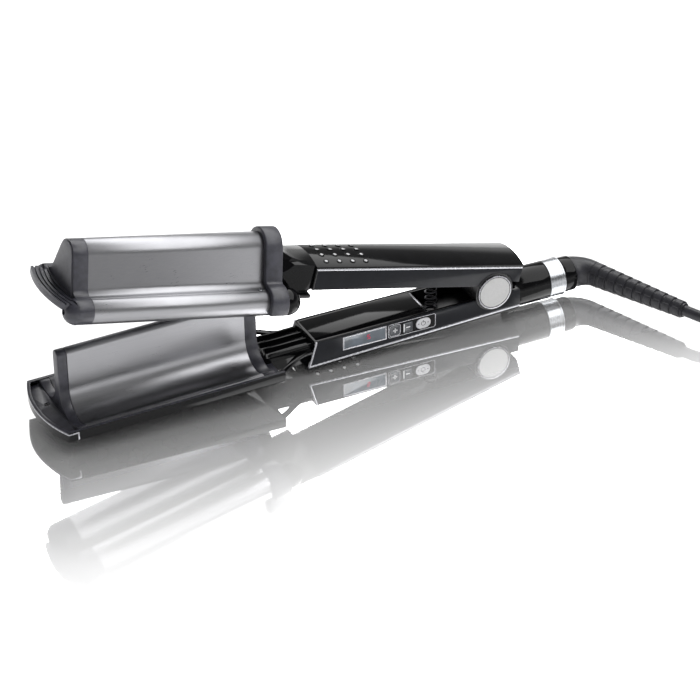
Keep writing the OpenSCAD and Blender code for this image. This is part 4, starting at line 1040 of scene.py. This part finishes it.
def blackenTrimFront():
    piece = bpy.data.objects["upperSideTrims"]
    # its side is one face along both strokes, so it's split first
    startEdit(piece)
    bpy.ops.mesh.select_all(action="SELECT")
    bpy.ops.mesh.quads_convert_to_tris(ngon_method="BEAUTY")
    endEdit()
    start = min(v.co.x for v in piece.data.vertices)
    paintFaces(piece, paints["gloss"], lambda c, n: c.x < start + trimFront["reach"] * mm)


blackenTrimFront()

# Each grip stud is black, with a painted highlight in its top: a small sunk spot of white that stands for the
# stud's glint
gripStuds = {"paintedHighlightEdge": 0.62, "paintedHighlightDepth": 0.05, "topTilt": 0.9}


def addPaintedStudHighlights(name, place, side):
    piece = bpy.data.objects[name]
    piece.data.materials.append(paints["printAndHighlightInk"])
    outward = (place.to_3x3() @ Vector((0, 0, side))).normalized()
    startEdit(piece)
    pickFaces(piece, lambda c, n: n.dot(outward) > gripStuds["topTilt"])
    bpy.ops.mesh.inset(thickness=gripStuds["paintedHighlightEdge"] * mm, depth=-gripStuds["paintedHighlightDepth"] * mm)
    # the sunk top of each stud is painted white: painted highlight
    piece.active_material_index = 1
    bpy.ops.object.material_slot_assign()
    endEdit()
    smoothByAngle(piece, 32)


addPaintedStudHighlights("upperGripDots", upperFrame, 1)
addPaintedStudHighlights("lowerGripDots", lowerFrame, -1)
print("liner walls and grip studs finished")

# Stage and lights

studio = {
    "floorSize": 14.0, "floorAlbedo": 0.78, "hazeGrain": 40.0, "mirrorGloss": 0.035,
    "mirrorReach": (0.02, 0.19), "mirrorShare": (0.78, 0.2), "skyStrength": 1.0, "domeRadius": 12.0,
    "aim": (0.0, 0.0, 0.05),
    "keyPlace": (1.0, 0.12, 1.5), "keySize": (4.2, 0.95), "keyPower": 46.0,
    "frontPlace": (-0.5, -2.0, 1.1), "frontSize": (2.6, 1.2), "frontPower": 2.5,
    "worldTurn": (-0.25, 0.3), "worldLevels": (0.15, 0.27), "horizonBand": (0.06, 0.26), "horizonLevel": 0.95,
}


def fade(tree, value, source, target):
    # eased change from one target value to the other, over the source range
    made = addNode(tree, "ShaderNodeMapRange",
                   {"From Min": source[0], "From Max": source[1], "To Min": target[0], "To Max": target[1],
                    "interpolation_type": "SMOOTHSTEP"}, {"Value": value})
    return made.outputs["Result"]


def makeFloor():
    s = studio
    bpy.ops.mesh.primitive_plane_add(size=s["floorSize"], location=(0, 0, 0))
    floor = bpy.context.object
    floor.name = "studioFloor"
    applyPlace(floor)
    # White acrylic sheet: a clear mirror image close to what stands on it, fading away from it
    material, tree, shader, place = newMaterial(
        "whiteAcrylicSheet", {"Roughness": 0.9, "Specular IOR Level": 0.0})
    shader.inputs["Base Color"].default_value = (s["floorAlbedo"],) * 3 + (1.0,)
    haze = noise(tree, place, s["hazeGrain"], 2.0)
    mirror = addNode(tree, "ShaderNodeBsdfAnisotropic", {"Color": (1, 1, 1, 1)},
                     {"Roughness": remap(tree, haze, s["mirrorGloss"] * 0.8, s["mirrorGloss"] * 1.2)})
    # distance from the tool's long footprint, towards the sides
    parts = addNode(tree, "ShaderNodeSeparateXYZ", links={"Vector": place})
    sideways = addNode(tree, "ShaderNodeMath", {"operation": "ABSOLUTE"}, {0: parts.outputs["Y"]})
    share = fade(tree, sideways.outputs["Value"], s["mirrorReach"], s["mirrorShare"])
    mix = addNode(tree, "ShaderNodeMixShader", links={"Fac": share})
    tree.links.new(shader.outputs["BSDF"], mix.inputs[1])
    tree.links.new(mirror.outputs["BSDF"], mix.inputs[2])
    for node in tree.nodes:
        if node.type == "OUTPUT_MATERIAL":
            tree.links.new(mix.outputs["Shader"], node.inputs["Surface"])
    floor.data.materials.append(material)
    return floor


def makeFloorSky(floor):
    # A white surround that only the floor sees: it stays white, and the metal reflects the dark studio
    s = studio
    bpy.ops.mesh.primitive_uv_sphere_add(segments=32, ring_count=16, radius=s["domeRadius"],
                                         location=(0, 0, -0.5))
    dome = bpy.context.object
    dome.name = "floorSky"
    applyPlace(dome)
    material = bpy.data.materials.new("floorSkyGlow")
    material.use_nodes = True
    tree = material.node_tree
    tree.nodes.clear()
    glow = addNode(tree, "ShaderNodeEmission", {"Color": (1, 1, 1, 1), "Strength": s["skyStrength"]})
    clear = addNode(tree, "ShaderNodeBsdfTransparent")
    both = addNode(tree, "ShaderNodeAddShader")
    tree.links.new(glow.outputs["Emission"], both.inputs[0])
    tree.links.new(clear.outputs["BSDF"], both.inputs[1])
    addNode(tree, "ShaderNodeOutputMaterial", links={"Surface": both.outputs["Shader"]})
    dome.data.materials.append(material)
    dome.visible_camera = False
    dome.visible_shadow = False
    receivers = bpy.data.collections.new("floorOnly")
    receivers.objects.link(floor)
    dome.light_linking.receiver_collection = receivers


def makeLamp(name, place, size, power):
    data = bpy.data.lights.new(name, "AREA")
    data.shape = "RECTANGLE"
    data.size, data.size_y = size
    data.energy = power
    lamp = bpy.data.objects.new(name, data)
    bpy.context.scene.collection.objects.link(lamp)
    lamp.location = place
    lamp.rotation_mode = "QUATERNION"
    lamp.rotation_quaternion = (Vector(studio["aim"]) - Vector(place)).to_track_quat("-Z", "Y")


def makeWorld():
    # Dark grey above a bright horizon, darker in front than behind, so curved metal shows soft bands
    s = studio
    world = bpy.data.worlds.new("studio")
    bpy.context.scene.world = world
    world.use_nodes = True
    tree = world.node_tree
    tree.nodes.clear()
    place = addNode(tree, "ShaderNodeTexCoord")
    parts = addNode(tree, "ShaderNodeSeparateXYZ", links={"Vector": place.outputs["Generated"]})
    backward = fade(tree, parts.outputs["Y"], s["worldTurn"], s["worldLevels"])
    horizon = fade(tree, parts.outputs["Z"], s["horizonBand"], (1.0, 0.0))
    level = addNode(tree, "ShaderNodeMix", {"data_type": "FLOAT"}, {"Factor": horizon})
    tree.links.new(backward, level.inputs["A"])
    level.inputs["B"].default_value = s["horizonLevel"]
    sky = addNode(tree, "ShaderNodeBackground", {"Color": (1, 1, 1, 1)},
                  {"Strength": level.outputs["Result"]})
    addNode(tree, "ShaderNodeOutputWorld", links={"Surface": sky.outputs["Background"]})


deselectAll()
floor = makeFloor()
makeFloorSky(floor)
makeLamp("overhead", studio["keyPlace"], studio["keySize"], studio["keyPower"])
makeLamp("front", studio["frontPlace"], studio["frontSize"], studio["frontPower"])
makeWorld()
bpy.context.scene.view_settings.view_transform = "Standard"
print("stage and lights set")
